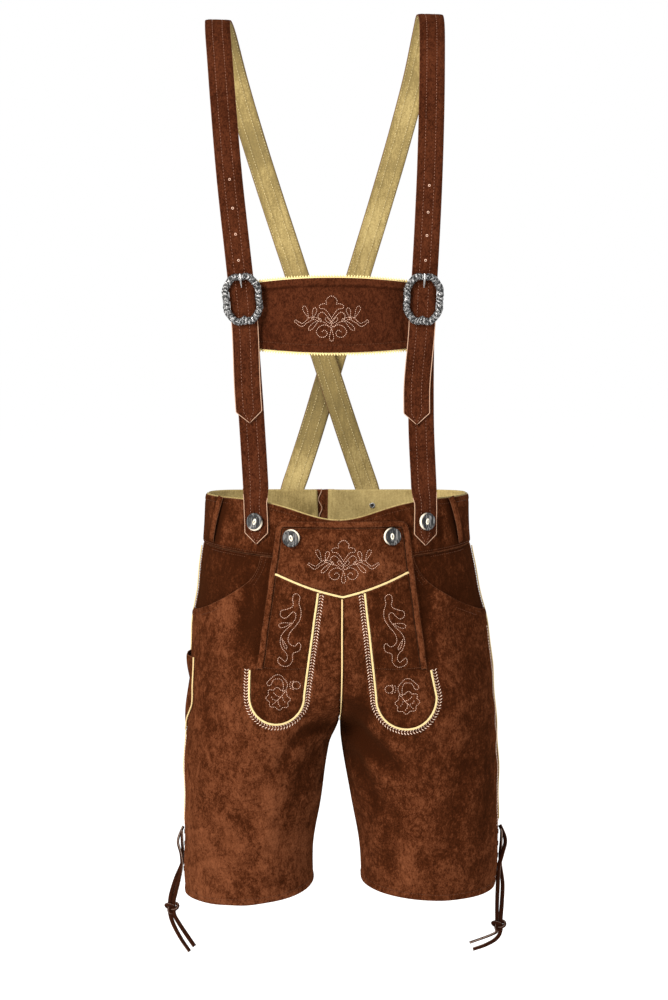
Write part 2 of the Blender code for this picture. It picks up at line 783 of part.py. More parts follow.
def make_belt_loop(name, half, x_top, x_foot, group):
    points, normals = [], []
    for share in spread(0, 1, 8):
        z = LOOP_TOP + (LOOP_FOOT - LOOP_TOP) * share
        angle = angle_of(x_top + (x_foot - x_top) * share, z)
        flat = on_trunk(half, angle, z)
        normal = (on_trunk(half, angle, z, 1.0) - flat).normalized()
        lift = LAY + LOOP_PROUD * sin(pi * share) ** 0.5
        points.append(flat + normal * lift)
        normals.append(normal)
    rows = strip(points, normals, LOOP_WIDTH, 0)
    return shell(name, rows, 2 * MM, normals[4], group, "suede")


# --- braces -----------------------------------------------------------------------------


def brace_line(side):
    """The brace's middle line and its outward directions, evenly spaced."""
    points = smooth_line([Vector(row) * MM for row in ROUTE[side]], BRACE_STEP)
    normals = []
    for i in range(len(points)):
        run = points[min(i + 1, len(points) - 1)] - points[max(i - 1, 0)]
        normals.append(Vector((0, -run.z, run.y)).normalized())
    return points, normals


def in_front(point):
    return point.y < SHOULDER_Y


def on_garment(point):
    return point.z < GARMENT_TOP


def settled(points, normals):
    """Where the brace lies on the waistband it takes the band's own place and direction."""
    placed, faced = [], []
    for point, normal in zip(points, normals):
        if on_garment(point):
            half = FRONT if in_front(point) else BACK
            angle = angle_of(point.x, point.z)
            flat = on_trunk(half, angle, point.z)
            blend = min((GARMENT_TOP - point.z) / SETTLING, 1)
            out = (on_trunk(half, angle, point.z, 1.0) - flat).normalized()
            goal = flat + out * (LAY + brace_clear(half))
            placed.append(point.lerp(goal, blend))
            faced.append(normal.lerp(out, blend).normalized())
        else:
            placed.append(point)
            faced.append(normal)
    return placed, faced


def brace_clear(half):
    """The extra room a flat strip needs on the band's curve."""
    return 0.9 * MM if half == FRONT else 0.8 * MM


def tail_lift(point):
    """The upper brace's tail passes in front of the tab and comes back to it above the buckle."""
    if not in_front(point):
        return 0.0
    return TAIL_LIFT * ease((TAIL_SETTLES - point.z) / (TAIL_SETTLES - TAB_HEAD))


def make_braces(side, group):
    points, normals = settled(*brace_line(side))
    name = SIDE_NAME[side]
    over = [i for i, point in enumerate(points) if not in_front(point) or point.z > TAIL_TIP]
    upper = [points[i] + normals[i] * tail_lift(points[i]) for i in over]
    facing = [normals[i] for i in over]
    tab = [i for i, point in enumerate(points) if in_front(point) and point.z < TAB_HEAD]
    lower = [points[i] for i in tab]
    lower_facing = [normals[i] for i in tab]
    for part, line, out in (("brace", upper, facing), ("brace_tab", lower, lower_facing)):
        cloth = strip(line, out, BRACE, LINING + BRACE_GAP)
        under = strip(line, out, BRACE - 1 * MM, 0)
        cloth, under = pointed(cloth, POINT_LENGTH, True), pointed(under, POINT_LENGTH, True)
        if part == "brace":
            cloth, under = pointed(cloth, POINT_LENGTH, False), pointed(under, POINT_LENGTH, False)
        middle = out[len(out) // 2]
        shell(f"{part}_{name}", cloth, SUEDE, middle, group, "brace_suede")
        shell(f"{part}_lining_{name}", under, LINING, middle, group, "lining")


def brace_point(side, z, front=True):
    """The brace's middle, outward direction and run at a height in front or behind."""
    points, normals = settled(*brace_line(side))
    chosen = [i for i, point in enumerate(points) if in_front(point) == front]
    nearest = min(chosen, key=lambda i: abs(points[i].z - z))
    step = 1 if front else -1
    other = nearest + (step if points[nearest].z < z else -step)
    share = (z - points[nearest].z) / (points[other].z - points[nearest].z)
    point = points[nearest].lerp(points[other], share)
    normal = normals[nearest].lerp(normals[other], share).normalized()
    run = points[other] - points[nearest]
    return point, normal, (run if run.z > 0 else -run).normalized()


def frame_at(point, normal, run):
    """A turn and place whose Z is outward and whose Y runs up the brace."""
    across = run.cross(normal).normalized()
    matrix = Matrix((across, normal.cross(across), normal)).transposed().to_4x4()
    matrix.translation = point
    return matrix


def make_buckle(side, group):
    """An eight-cornered ring, its foot drawn to a point inside."""
    point, normal, run = brace_point(side, BUCKLE_Z)
    lift = TAIL_LIFT + LINING + BRACE_GAP + SUEDE + LAY + BUCKLE_WIRE * 0.42
    place_at = frame_at(point + normal * lift, normal, run)
    half_wide = (BUCKLE_SIZE[0] - BUCKLE_WIRE) / 2
    half_high = (BUCKLE_SIZE[1] - BUCKLE_WIRE) / 2
    data = bpy.data.meshes.new(f"buckle_{SIDE_NAME[side]}")
    mesh = bmesh.new()
    turns, round_count = 24, 6
    rings = []
    for i in range(turns):
        angle = 2 * pi * i / turns
        square = (abs(cos(angle)) ** 2.6 + abs(sin(angle)) ** 2.6) ** (1 / 2.6)
        x, y = half_wide * cos(angle) / square, half_high * sin(angle) / square
        heavy = 1 + 0.35 * max(-sin(angle), 0) ** 6
        out = Vector((cos(angle), sin(angle) * 0.9, 0)).normalized()
        ring = []
        for j in range(round_count):
            turn = 2 * pi * j / round_count
            across = cos(turn) * BUCKLE_WIRE / 2 * (heavy if cos(turn) < 0 else 1)
            ring.append(mesh.verts.new(Vector((x, y, sin(turn) * BUCKLE_WIRE * 0.42)) + out * across))
        rings.append(ring)
    for i in range(turns):
        here, after = rings[i], rings[(i + 1) % turns]
        for j in range(round_count):
            k = (j + 1) % round_count
            mesh.faces.new((here[j], after[j], after[k], here[k]))
    bmesh.ops.recalc_face_normals(mesh, faces=mesh.faces)
    mesh.to_mesh(data)
    mesh.free()
    item = place(f"buckle_{SIDE_NAME[side]}", data, group, "silver")
    item.matrix_world = place_at


def make_prong(side, group):
    """The visible end of the prong: out of its hole and over the ring's upper bar."""
    point, normal, run = brace_point(side, BUCKLE_Z)
    face = TAIL_LIFT + LINING + BRACE_GAP + SUEDE + LAY
    thick = 2.4 * MM
    top = face + BUCKLE_WIRE * 0.84 + thick / 2 + LAY
    bar = BUCKLE_SIZE[1] / 2 - BUCKLE_WIRE / 2
    route = [(bar - 13 * MM, face + thick / 2), (bar - 8 * MM, face + 4 * MM), (bar - 3 * MM, top), (bar + 1 * MM, top)]
    points = [point + run * along + normal * lift for along, lift in route]
    tube(f"buckle_prong_{SIDE_NAME[side]}", points, thick, group, "silver", 2)


def figure_front(z):
    """Where the braces' inner faces stand in front of the figure at a height."""
    return (brace_point(RIGHT, z)[0].y + brace_point(LEFT, z)[0].y) / 2


def chest_rows(rise, lift):
    """The chest piece, bowed forward between the braces and flat behind them."""
    middle = sum(CHEST_ENDS) / 2
    half_wide = (CHEST_ENDS[1] - CHEST_ENDS[0]) / 2
    rows = []
    for share in spread(0, 1, 3):
        row = []
        for u in spread(-1, 1, 16):
            arch = 1 - u * u
            top = CHEST_TOP[1] + (CHEST_TOP[0] - CHEST_TOP[1]) * arch + rise
            foot = CHEST_FOOT[1] + (CHEST_FOOT[0] - CHEST_FOOT[1]) * arch - rise
            z = top + (foot - top) * share
            free = max(1 - (abs(u) / CHEST_FREE) ** 2, 0)
            y = figure_front(z) - CHEST_BOW * free ** 0.8
            row.append(Vector((middle + half_wide * u, y - lift, z)))
        rows.append(row)
    return rows


def make_chest_piece(group):
    away = 1.8 * MM + SUEDE
    forward = Vector((0, -1, 0))
    shell("chest_piece", chest_rows(0, -away), SUEDE, forward, group, "brace_suede")
    backing = chest_rows(PINKING, -away - BRACE_GAP)
    shell("chest_backing", backing, LINING, forward, group, "piping", grows=-1)


# --- buttons and laces ------------------------------------------------------------------


def make_button(name, point, normal, run, group):
    """A turned horn button with a low rim, its back just clear of the cloth."""
    radius, thick = BUTTON / 2, BUTTON_THICK
    profile = [
        (0.0, thick * 0.72), (radius * 0.62, thick * 0.74), (radius * 0.78, thick), (radius * 0.9, thick),
        (radius, thick * 0.6), (radius * 0.94, thick * 0.15), (radius * 0.8, 0.0), (0.0, 0.0),
    ]
    data = bpy.data.meshes.new(name)
    data.from_pydata([(x, 0, z) for x, z in profile], [(i, i + 1) for i in range(len(profile) - 1)], [])
    item = place(name, data, group, "horn")
    turned = item.modifiers.new("Turned", "SCREW")
    turned.steps = turned.render_steps = 14
    turned.use_merge_vertices = True
    turned.merge_threshold = 0.01 * MM
    turned.use_normal_calculate = True
    item.matrix_world = frame_at(point, normal, run)


def make_buttons(group):
    upright = Vector((0, 0, 1))
    for name, (x, z) in FLAP_BUTTONS.items():
        flat = on_body(FRONT, x, z)
        normal = (on_body(FRONT, x, z, 1.0) - flat).normalized()
        make_button(name, flat + normal * (LAY + SUEDE + BUTTON_SHANK), normal, upright, group)
    stack = LINING + BRACE_GAP + SUEDE + BUTTON_SHANK
    for side in (RIGHT, LEFT):
        for front in (True, False):
            point, normal, run = brace_point(side, BRACE_BUTTON_Z, front)
            name = f"brace_button_{'front' if front else 'back'}_{SIDE_NAME[side]}"
            make_button(name, point + normal * stack, normal, run, group)


def make_laces(group):
    for name, route in LACES.items():
        points = smooth_line([Vector(row) * MM for row in route], LACE * 2.8)
        tube(name, points, LACE, group, "suede", 2)


def make_knots(group):
    major, minor = KNOT_RING
    for name, centre in KNOTS.items():
        bpy.ops.mesh.primitive_torus_add(
            major_radius=major, minor_radius=minor, major_segments=14, minor_segments=6
        )
        item = bpy.context.object
        item.name = name
        item.data.name = name
        for point in item.data.vertices:
            point.co = Vector((point.co.x, point.co.y * KNOT_DEPTH, point.co.z * 2.2)) + Vector(centre) * MM
        for owner in list(item.users_collection):
            owner.objects.unlink(item)
        group.objects.link(item)
        item.data.materials.append(material(name, "suede"))


def main():
    clear_scene()
    group = collection("lederhosen")
    cutters = collection("cutters")
    for side in (RIGHT, LEFT):
        cut_pocket(make_panel(side, FRONT, group), side, cutters)
        make_panel(side, BACK, group)
        make_facing(side, group)
        for half in (FRONT, BACK):
            make_waistband(side, half, group)
            make_waistband(side, half, group, lining=True)
        make_shield(side, group)
        make_shield_piping(side, group)
        make_braces(side, group)
        make_buckle(side, group)
        make_prong(side, group)
    make_gusset(group)
    make_yoke(group)
    make_binding(group)
    make_yoke_piping(group)
    make_centre_piping(group)
    make_side_piping("side_piping_right_upper", RIGHT, WAIST_SEAM - 6 * MM, KNIFE_TOP + 4 * MM, group)
    make_side_piping("side_piping_right_lower", RIGHT, KNIFE_FOOT - 4 * MM, -1050 * MM, group)
    make_side_piping("side_piping_left", LEFT, WAIST_SEAM - 6 * MM, -1048 * MM, group)
    make_knife_pocket(group)
    make_knife_piping(group)
    for name, (half, x_top, x_foot) in LOOPS.items():
        make_belt_loop(name, half, x_top, x_foot, group)
    make_chest_piece(group)
    make_buttons(group)
    make_laces(group)
    make_knots(group)


main()
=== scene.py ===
"""The looks of a pair of suede lederhosen with crossed braces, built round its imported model.

Metres, +Z up. The front faces -Y and the wearer's left is +X. The origin is the shoulder line.
"""

import bpy
import numpy as np
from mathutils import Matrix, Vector


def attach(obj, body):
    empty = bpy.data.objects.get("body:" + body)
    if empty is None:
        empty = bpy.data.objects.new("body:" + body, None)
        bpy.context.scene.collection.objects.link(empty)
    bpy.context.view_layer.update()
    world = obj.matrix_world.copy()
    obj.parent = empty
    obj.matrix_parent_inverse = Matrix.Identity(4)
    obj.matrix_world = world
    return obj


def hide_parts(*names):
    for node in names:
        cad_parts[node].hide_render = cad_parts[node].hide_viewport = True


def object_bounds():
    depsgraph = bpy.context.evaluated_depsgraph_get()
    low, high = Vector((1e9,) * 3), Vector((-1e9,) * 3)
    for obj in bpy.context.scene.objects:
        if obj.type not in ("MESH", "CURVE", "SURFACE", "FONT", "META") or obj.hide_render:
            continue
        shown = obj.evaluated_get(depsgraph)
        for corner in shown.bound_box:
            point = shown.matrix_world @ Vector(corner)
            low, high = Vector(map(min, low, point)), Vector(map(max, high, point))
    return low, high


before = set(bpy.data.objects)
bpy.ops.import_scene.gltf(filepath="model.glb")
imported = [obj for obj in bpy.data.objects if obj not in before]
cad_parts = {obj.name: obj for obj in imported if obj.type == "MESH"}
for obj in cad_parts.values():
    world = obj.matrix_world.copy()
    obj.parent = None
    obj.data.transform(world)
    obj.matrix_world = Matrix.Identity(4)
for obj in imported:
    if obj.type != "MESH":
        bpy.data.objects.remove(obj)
cad_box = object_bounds()

bl_info = {
    "name": "Suede lederhosen",
    "version": (1, 0, 0),
    "blender": (4, 5, 0),
    "location": "3D View > Sidebar > Lederhosen",
    "description": "Suede trousers with a flap, crossed braces, buckles, buttons and laces",
    "category": "Object",
}

MM = 0.001

FRONT, BACK = -1, 1
RIGHT, LEFT = -1, 1
SIDES = {"right": RIGHT, "left": LEFT}
HALVES = {"front": FRONT, "back": BACK}

# Cloth and gaps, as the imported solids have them
SUEDE = 1.5 * MM
LINING = 1.0 * MM
SEAM = 0.6 * MM
MET = 0.06 * MM
LAY = 0.6 * MM
FOLDED = 2 * MM
PIPING = 2.4 * MM

# Heights below the shoulder line
WAIST_TOP = -617 * MM
WAIST_SEAM = -679 * MM
WAIST_DIP = 24.5 * MM
WAIST_DIP_REACH = 68 * MM
SEAM_DIP = {FRONT: 12 * MM, BACK: 4 * MM}
FLAP_FOOT = -829 * MM
RISE_OPENS = -815 * MM
CROTCH = -913 * MM
HEM = -1136 * MM
VENT_TOP = -1048 * MM
HEM_ROW = 7.5 * MM
MOUTH_ROWS = (3.2 * MM, 8.5 * MM)
CLEFT_POWER = 3.2
THIGH_TOP = -740 * MM
THIGH_FULL = -945 * MM
THIGH_FROM = 0.18
THIGH_TO = 0.52
SEAM_BLENDS_FROM = -760 * MM
HEM_BLENDS_FROM = -1000 * MM

# The body's measures: z, centre, right, left, front, back, inner right, inner left
BODY = MM * np.array(
    (
        (-600, 2, 173, 168, 109, 104, 0, 0),
        (-640, 2, 175, 168, 112, 107, 0, 0),
        (-680, 3, 179, 170, 115, 113, 0, 0),
        (-735, 5, 188, 179, 118, 123, 0, 0),
        (-785, 5, 194, 189, 121, 132, 0, 0),
        (-830, 5, 196, 195, 121, 134, 0, 0),
        (-875, 4, 197, 201, 120, 129, 0, 0),
        (-913, 2, 199, 206, 116, 120, 0.3, 0.3),
        (-945, 0, 200, 209, 111, 113, 11, 4.5),
        (-1020, 0, 201, 211, 102, 104, 22, 17.5),
        (-1080, 0, 203, 212, 96, 98, 32, 28),
        (-1150, 0, 201, 205, 92, 94, 31.5, 31),
    )
)
HEIGHT, CENTRE, OUT_RIGHT, OUT_LEFT, DEEP_FRONT, DEEP_BACK, IN_RIGHT, IN_LEFT = range(8)

# How far each hem stands from its mean height at the inseam, the middle and the side seam
HEM_LINE = {RIGHT: (9 * MM, -1 * MM, -7 * MM), LEFT: (13 * MM, 5 * MM, 4 * MM)}

# Flap: X of its finished edge at the waist top and at the slits' foot
FLAP_TOP = -642.5 * MM
FLAP_EDGE = {RIGHT: (-67 * MM, -93 * MM), LEFT: (78 * MM, 103 * MM)}
BINDING = 8.5 * MM
YOKE_POINT = (6 * MM, -735 * MM)
YOKE_END = {RIGHT: -708 * MM, LEFT: -706 * MM}
YOKE_SAG = 2.5 * MM
PIPING_BED = 3.8 * MM
SHIELD_LIFT = 1.0 * MM
# Shields: X of the inner edge at the yoke and the ankle, X outside, heights of ankle and sole
SHIELD = {
    RIGHT: MM * np.array((-26, -44.5, -109, -108, -862, -896)),
    LEFT: MM * np.array((34.5, 50, 121, 114, -864, -902)),
}

# About how far a panel runs round the body, which turns a width into t
GIRTH_TO_T = 300 * MM
POCKET_WIDTH = 78 * MM
POCKET_DEPTH = 88 * MM
FACING_MARGIN = 16 * MM
KNIFE_TOP = -827 * MM
KNIFE_FOOT = -926 * MM
KNIFE_FORE = 0.10
KNIFE_AFT = 0.16
KNIFE_SWELL = 4.5 * MM
NOTCH = {RIGHT: (-28 * MM, -26 * MM), LEFT: (-13 * MM, -14 * MM)}
GUSSET_WIDTH = 32 * MM
GUSSET_PLEAT = 2.6 * MM
LOOP_WIDTH = 10 * MM
LOOP_PROUD = 3.2 * MM
LOOP_TOP = -616 * MM
LOOP_FOOT = -675 * MM
# Belt loops: half, X at the top and X at the foot
LOOPS = {
    "belt_loop_front_right": (FRONT, -147 * MM, -160 * MM),
    "belt_loop_front_left": (FRONT, 142 * MM, 156 * MM),
    "belt_loop_back_right": (BACK, -122 * MM, -124 * MM),
    "belt_loop_back_left": (BACK, 118 * MM, 120 * MM),
}

# Braces
BRACE = 32 * MM
BRACE_GAP = 0.4 * MM
STRAP_FACE = LINING + BRACE_GAP + SUEDE
TAIL_LIFT = 3.8 * MM
# How far each tail's tip hangs to the wearer's right of the tab under it
TAIL_SWAY = {RIGHT: 2.5 * MM, LEFT: 5.5 * MM}
BUCKLE_Z = -368 * MM
BUCKLE_SIZE = (49 * MM, 63 * MM)
BUCKLE_WIRE = 8 * MM
TAIL_TIP = -523 * MM
TAB_HEAD = -350 * MM
TAIL_SETTLES = -300 * MM
POINT_LENGTH = 14 * MM
GARMENT_TOP = -600 * MM
SHOULDER_Y = -12 * MM
ROUTE = {
    RIGHT: (
        (-101, -92, -673), (-101, -92.5, -645), (-102.5, -94, -605), (-107, -98, -523), (-113, -102, -430),
        (-117.5, -103, -368), (-125, -100, -300), (-134, -88, -220), (-141.5, -69, -140), (-148, -42, -68),
        (-152, -18, -26), (-152, 8, -15), (-146, 34, -32), (-133, 62, -84), (-112, 84, -156),
        (-86, 99, -238), (-58, 107, -323), (-12, 109, -465), (14, 109, -544), (37, 107.5, -612),
        (46, 106, -646), (50, 106, -666),
    ),
    LEFT: (
        (108, -90, -675), (108, -90.5, -645), (107.5, -92, -605), (103.5, -98, -523), (103, -102, -430),
        (105, -103, -368), (109, -100, -300), (113, -88, -220), (116, -69, -140), (118, -42, -66),
        (118.5, -18, -20), (116, 8, -8), (112, 34, -26), (101, 62, -80), (81, 84, -156), (57, 100, -238),
        (31, 110, -323), (-12, 115.5, -465), (-36, 113, -544), (-58, 106.5, -612), (-67, 103.5, -646),
        (-71, 103, -666),
    ),
}

# Chest piece: X of its ends, heights of its edges at the middle and at the ends
CHEST_ENDS = (-129 * MM, 117 * MM)
CHEST_TOP = (-341.5 * MM, -351 * MM)
CHEST_FOOT = (-433.5 * MM, -425 * MM)
CHEST_BOW = 19 * MM
CHEST_FREE = 0.72
CHEST_MIDDLE = (CHEST_ENDS[0] + CHEST_ENDS[1]) / 2
CHEST_REACH = (CHEST_ENDS[1] - CHEST_ENDS[0]) / 2
CHEST_SETS_BACK = 1.8 * MM

BUTTON = 22.5 * MM
BUTTON_THICK = 4.2 * MM
BUTTON_SHANK = 1.6 * MM
FLAP_BUTTONS = {"flap_button_right": (-57 * MM, -664 * MM), "flap_button_left": (66 * MM, -662 * MM)}
BRACE_BUTTON_Z = -645 * MM

# Laces: the routes' points in millimetres
LACE = 4.4 * MM
LACES = {
    "lace_right_inner": (
        (-205, -12, -1062), (-205.3, -5, -1078), (-205.3, 4, -1094), (-206.5, 5, -1110), (-214, 3, -1128),
        (-220, 1, -1147), (-222.3, 0, -1160), (-222.3, 0, -1176), (-218, -2, -1190), (-208, -6, -1208),
        (-196, -9, -1225),
    ),
    "lace_right_outer": (
        (-205, 12, -1062), (-211.2, 1, -1078), (-206.8, -8, -1094), (-206, -8, -1110), (-210, -4, -1130),
        (-214.5, -1, -1148), (-217.3, 0, -1160), (-217.3, 0, -1176), (-211.5, 2, -1189),
        (-201.5, 0, -1204), (-190, -3, -1220),
    ),
    "lace_left_inner": (
        (215, -12, -1060), (215.4, -5, -1077), (215.2, 4, -1094), (215.5, 5, -1112), (218.5, 3, -1136),
        (217.5, 1, -1162), (216, 0, -1184), (216, 0, -1200), (210, -2, -1210), (196, -6, -1217),
        (179, -9, -1222),
    ),
    "lace_left_outer": (
        (215, 12, -1060), (221.4, 1, -1077), (216.6, -8, -1094), (212, -8, -1112), (211.5, -4, -1136),
        (211, -1, -1162), (211, 0, -1184), (211, 0, -1200), (205, 2, -1205.5), (192, 0, -1210),
        (175, -3, -1215),
    ),
}
KNOTS = {"lace_knot_right": (-219.8, 0, -1168), "lace_knot_left": (213.5, 0, -1192)}

# Soft creases in the cloth: X and Z of both ends, half width and height, below 0 for a trough
CREASES = {
    FRONT: (
        # drag lines that run out from the crotch over both thighs
        (-8, -903, -56, -923, 9, -5.0), (-48, -920, -74, -966, 8, -3.4), (-40, -940, -110, -930, 11, 3.0),
        (14, -898, 76, -958, 11, -7.0), (36, -890, 100, -944, 9, 3.4), (22, -932, 84, -984, 8, 3.0),
        (24, -940, 62, -1020, 9, -3.8), (-20, -930, -52, -1010, 9, -3.0), (10, -872, 58, -902, 7, -2.4),
        (-8, -860, -44, -905, 8, -1.8),
        # beside the slits, where the flap pulls
        (-100, -688, -117, -815, 10, -4.6), (-124, -700, -140, -850, 13, 2.4),
        (109, -690, 128, -800, 9, -3.0), (136, -720, 142, -850, 12, 2.0),
        # thighs and knees
        (-165, -800, -150, -935, 12, -2.4), (-70, -960, -88, -1100, 16, 1.8),
        (-150, -985, -92, -1052, 13, -2.2), (-182, -1010, -140, -1100, 11, 1.8),
        (76, -1000, 70, -1105, 10, -3.2), (104, -1010, 96, -1118, 13, 2.0),
        (172, -930, 150, -1060, 12, -2.4), (150, -860, 172, -985, 10, 1.6),
        (-56, -1050, -120, -1096, 12, -1.6), (130, -1062, 184, -1100, 10, -1.4),
        # puckers in the waistband
        (-166, -620, -170, -672, 5, -2.6), (-140, -622, -143, -676, 6, 1.8),
        (-122, -640, -128, -680, 4, -1.6), (128, -624, 131, -676, 5, -2.2),
        (160, -622, 168, -672, 5, -1.6),
    ),
    BACK: (
        # below the waistband, under the seat and at the backs of the knees
        (-62, -700, -92, -790, 11, -2.6), (58, -698, 84, -784, 12, -2.8), (-14, -896, -98, -948, 15, -5.0),
        (18, -898, 104, -944, 14, -4.6), (-34, -928, -128, -985, 11, 2.8), (38, -926, 122, -990, 12, 2.8),
        (-24, -940, -66, -1030, 10, -3.0), (26, -938, 60, -1022, 10, -3.2),
        (-150, -1010, -70, -1046, 12, -2.6), (152, -1018, 74, -1052, 12, -2.4),
        (-168, -1052, -96, -1080, 10, -1.8), (166, -1058, 90, -1086, 11, -2.0),
        (-120, -820, -140, -930, 14, -2.0), (122, -812, 146, -926, 13, -2.2),
    ),
}


# --- the body's surface ---


def vec(x, y, z):
    return np.stack(np.broadcast_arrays(*(np.asarray(v, float) for v in (x, y, z))), axis=-1)


def unit(vectors):
    return vectors / np.maximum(np.linalg.norm(vectors, axis=-1, keepdims=True), 1e-12)


def ease(share):
    share = np.clip(share, 0, 1)
    return share * share * (3 - 2 * share)


def spread(low, high, count):
    return np.linspace(low, high, count + 1)


def run_along(points):
    """How far along the line each point lies."""
    return np.concatenate(([0], np.linalg.norm(np.diff(points, axis=0), axis=1).cumsum()))


def sampled(places, run, points):
    return np.stack([np.interp(places, run, column) for column in points.T], -1)


def same_way(points, *way):
    return np.broadcast_to(way, points.shape).astype(float)


def section(z):
    """The body's measures at each height, on smooth curves through the table's rows."""
    z = np.asarray(z, float)
    index = (z[..., None] < BODY[1:-1, HEIGHT]).sum(axis=-1)
    low, high = BODY[index], BODY[index + 1]
    before, after = BODY[np.maximum(index - 1, 0)], BODY[np.minimum(index + 2, len(BODY) - 1)]
    span = (high - low)[..., HEIGHT, None]
    share = (z[..., None] - low[..., HEIGHT, None]) / span
    slope_low = (high - before) / (high - before)[..., HEIGHT, None] * span
    slope_high = (after - low) / (after - low)[..., HEIGHT, None] * span
    return hermite(low, high, slope_low, slope_high, share)


def hermite(start, end, slope_start, slope_end, share):
    square = share * share
    cube = square * share
    return (
        (2 * cube - 3 * square + 1) * start
        + (cube - 2 * square + share) * slope_start
        + (3 * square - 2 * cube) * end
        + (cube - square) * slope_end
    )


def leg_share(z):
    """0 where the trunk is one round, 1 where it has parted into two legs."""
    return np.clip((RISE_OPENS - z) / (RISE_OPENS - CROTCH), 0, 1) ** CLEFT_POWER


def round_ends(side, z):
    """Centre, and the middle and reach of the cosine that gives X."""
    row = section(z)
    outer = np.where(np.asarray(side) < 0, row[..., OUT_RIGHT], row[..., OUT_LEFT])
    inner = np.where(np.asarray(side) < 0, row[..., IN_RIGHT], row[..., IN_LEFT]) * (z < CROTCH)
    legs = leg_share(z)
    middle = (1 - legs) * outer / 2 + legs * (outer + inner) / 2
    reach = (1 - legs) * outer / 2 + legs * (outer - inner) / 2
    return row[..., CENTRE], middle, reach


def body(side, half, t, z, parted=MET):
    """Points of the plain outer surface: t is 0 at the centre or inseam and 1 at the side seam."""
    z = np.asarray(z, float)
    centre, middle, reach = round_ends(side, z)
    depth = section(z)[..., DEEP_FRONT if half == FRONT else DEEP_BACK]
    across = (1 - np.cos(np.pi * t)) / 2
    trunk = np.sqrt(np.maximum(1 - across * across, 0))
    legs = leg_share(z)
    full = ease((THIGH_TOP - z) / (THIGH_TOP - THIGH_FULL))
    thigh = legs + (np.maximum(full, legs) - legs) * ease((t - THIGH_FROM) / (THIGH_TO - THIGH_FROM))
    y = depth * ((1 - thigh) * trunk + thigh * np.sin(np.pi * t))
    x = middle - reach * np.cos(np.pi * t)
    return vec(centre + side * np.maximum(x, parted), half * np.maximum(y, parted), z)


def normal_at(side, half, t, z):
    step_t, step_z = 0.004, 1.5 * MM
    along = (
        body(side, half, np.minimum(t + step_t, 1), z, 0) - body(side, half, np.maximum(t - step_t, 0), z, 0)
    )
    up = body(side, half, t, z + step_z, 0) - body(side, half, t, z - step_z, 0)
    turn = -np.asarray(side, float) * half
    return unit(np.cross(along, up)) * np.asarray(turn)[..., None]


def waist_seam(half, x):
    return WAIST_SEAM - SEAM_DIP[half] * np.maximum(1 - (x / 0.175) ** 2, 0)


def waist_top(half, x):
    if half == BACK:
        return WAIST_TOP - 5 * MM * np.maximum(1 - (x / 0.17) ** 2, 0)
    return WAIST_TOP - WAIST_DIP * np.exp(-((x / WAIST_DIP_REACH) ** 2))


def flap_edge(side, z):
    top, foot = FLAP_EDGE[side]
    return top + (foot - top) * (z - FLAP_TOP) / (FLAP_FOOT - FLAP_TOP)


def groove(distance, width):
    return np.exp(-((distance / width) ** 2))


def relief(half, point):
    """How far the cloth stands off its plain form: creases, seams drawn in and a slow unevenness."""
    x, y, z = point[..., 0], point[..., 1], point[..., 2]
    rise = np.zeros_like(x)
    for x0, z0, x1, z1, width, height in MM * np.array(CREASES[half], float):
        run_x, run_z = x1 - x0, z1 - z0
        length = np.hypot(run_x, run_z)
        share = ((x - x0) * run_x + (z - z0) * run_z) / length**2
        away = ((x - x0) * run_z - (z - z0) * run_x) / length
        bend = 0.07 * length * np.sin(np.pi * np.clip(share, 0, 1))
        taper = ease((share + 0.12) / 0.4) * ease((1.12 - share) / 0.4)
        rise += height * groove(away - bend, width) * taper
    rise += 0.9 * MM * np.sin(31 * x + 9 * np.sin(17 * z)) * np.sin(26 * z + 5 * np.sin(23 * x) + half)
    rise += 0.35 * MM * np.sin(97 * x + 40 * z + 3 * np.sin(61 * z)) * np.sin(71 * z - 35 * x)
    # slow swells fade out at the seams, where the cloth's two edges have to meet
    rise *= ease((np.abs(y) - 4 * MM) / (26 * MM))
    rise -= 1.1 * MM * groove(z - waist_seam(half, x), 3.2 * MM)
    rise -= 1.0 * MM * groove(np.abs(y), 5 * MM) * (z > HEM + 12 * MM)
    centre = section(z)[..., CENTRE]
    seam_top = YOKE_POINT[1] if half == FRONT else WAIST_SEAM
    rise -= 0.9 * MM * groove(x - centre, 3 * MM) * (z > CROTCH) * (z < seam_top)
    if half == FRONT:
        for side in (RIGHT, LEFT):
            slit = side * (x - flap_edge(side, z)) - BINDING - 2.4 * MM
            beside = groove(slit, 2.6 * MM) * (z < -648 * MM) * ease((z - FLAP_FOOT) / (14 * MM))
            rise -= 2.2 * MM * beside
    return rise


def side_sway(z):
    """The side seams' own slight waviness, outwards."""
    return 0.9 * MM * np.sin(38 * z + 1) + 0.5 * MM * np.sin(95 * z)


def surface(side, half, t, z, lift=0.0):
    """The creased outer surface, lifted outwards."""
    plain = body(side, half, t, z)
    out = normal_at(side, half, t, z)
    rise = (
        relief(half, plain) + side_sway(plain[..., 2]) * ease((t - 0.8) / 0.2) * (plain[..., 2] < WAIST_SEAM)
    )
    points = plain + out * (rise + lift)[..., None]
    # above the crotch the two sides meet on the middle line, however the cloth creases
    centre = section(plain[..., 2])[..., CENTRE]
    met = plain[..., 2] > CROTCH - 3 * MM
    points[..., 0] = np.where(
        met, centre + side * np.maximum(side * (points[..., 0] - centre), MET), points[..., 0]
    )
    return points


def t_at(side, x, z):
    centre, middle, reach = round_ends(side, z)
    return np.arccos(np.clip((middle - side * (x - centre)) / reach, -1, 1)) / np.pi


def place_at(x, z):
    """The side, t and height of points given by X and Z."""
    x, z = np.broadcast_arrays(np.asarray(x, float), np.asarray(z, float))
    side = np.where(x >= section(z)[..., CENTRE], LEFT, RIGHT)
    return side, t_at(side, x, z), z


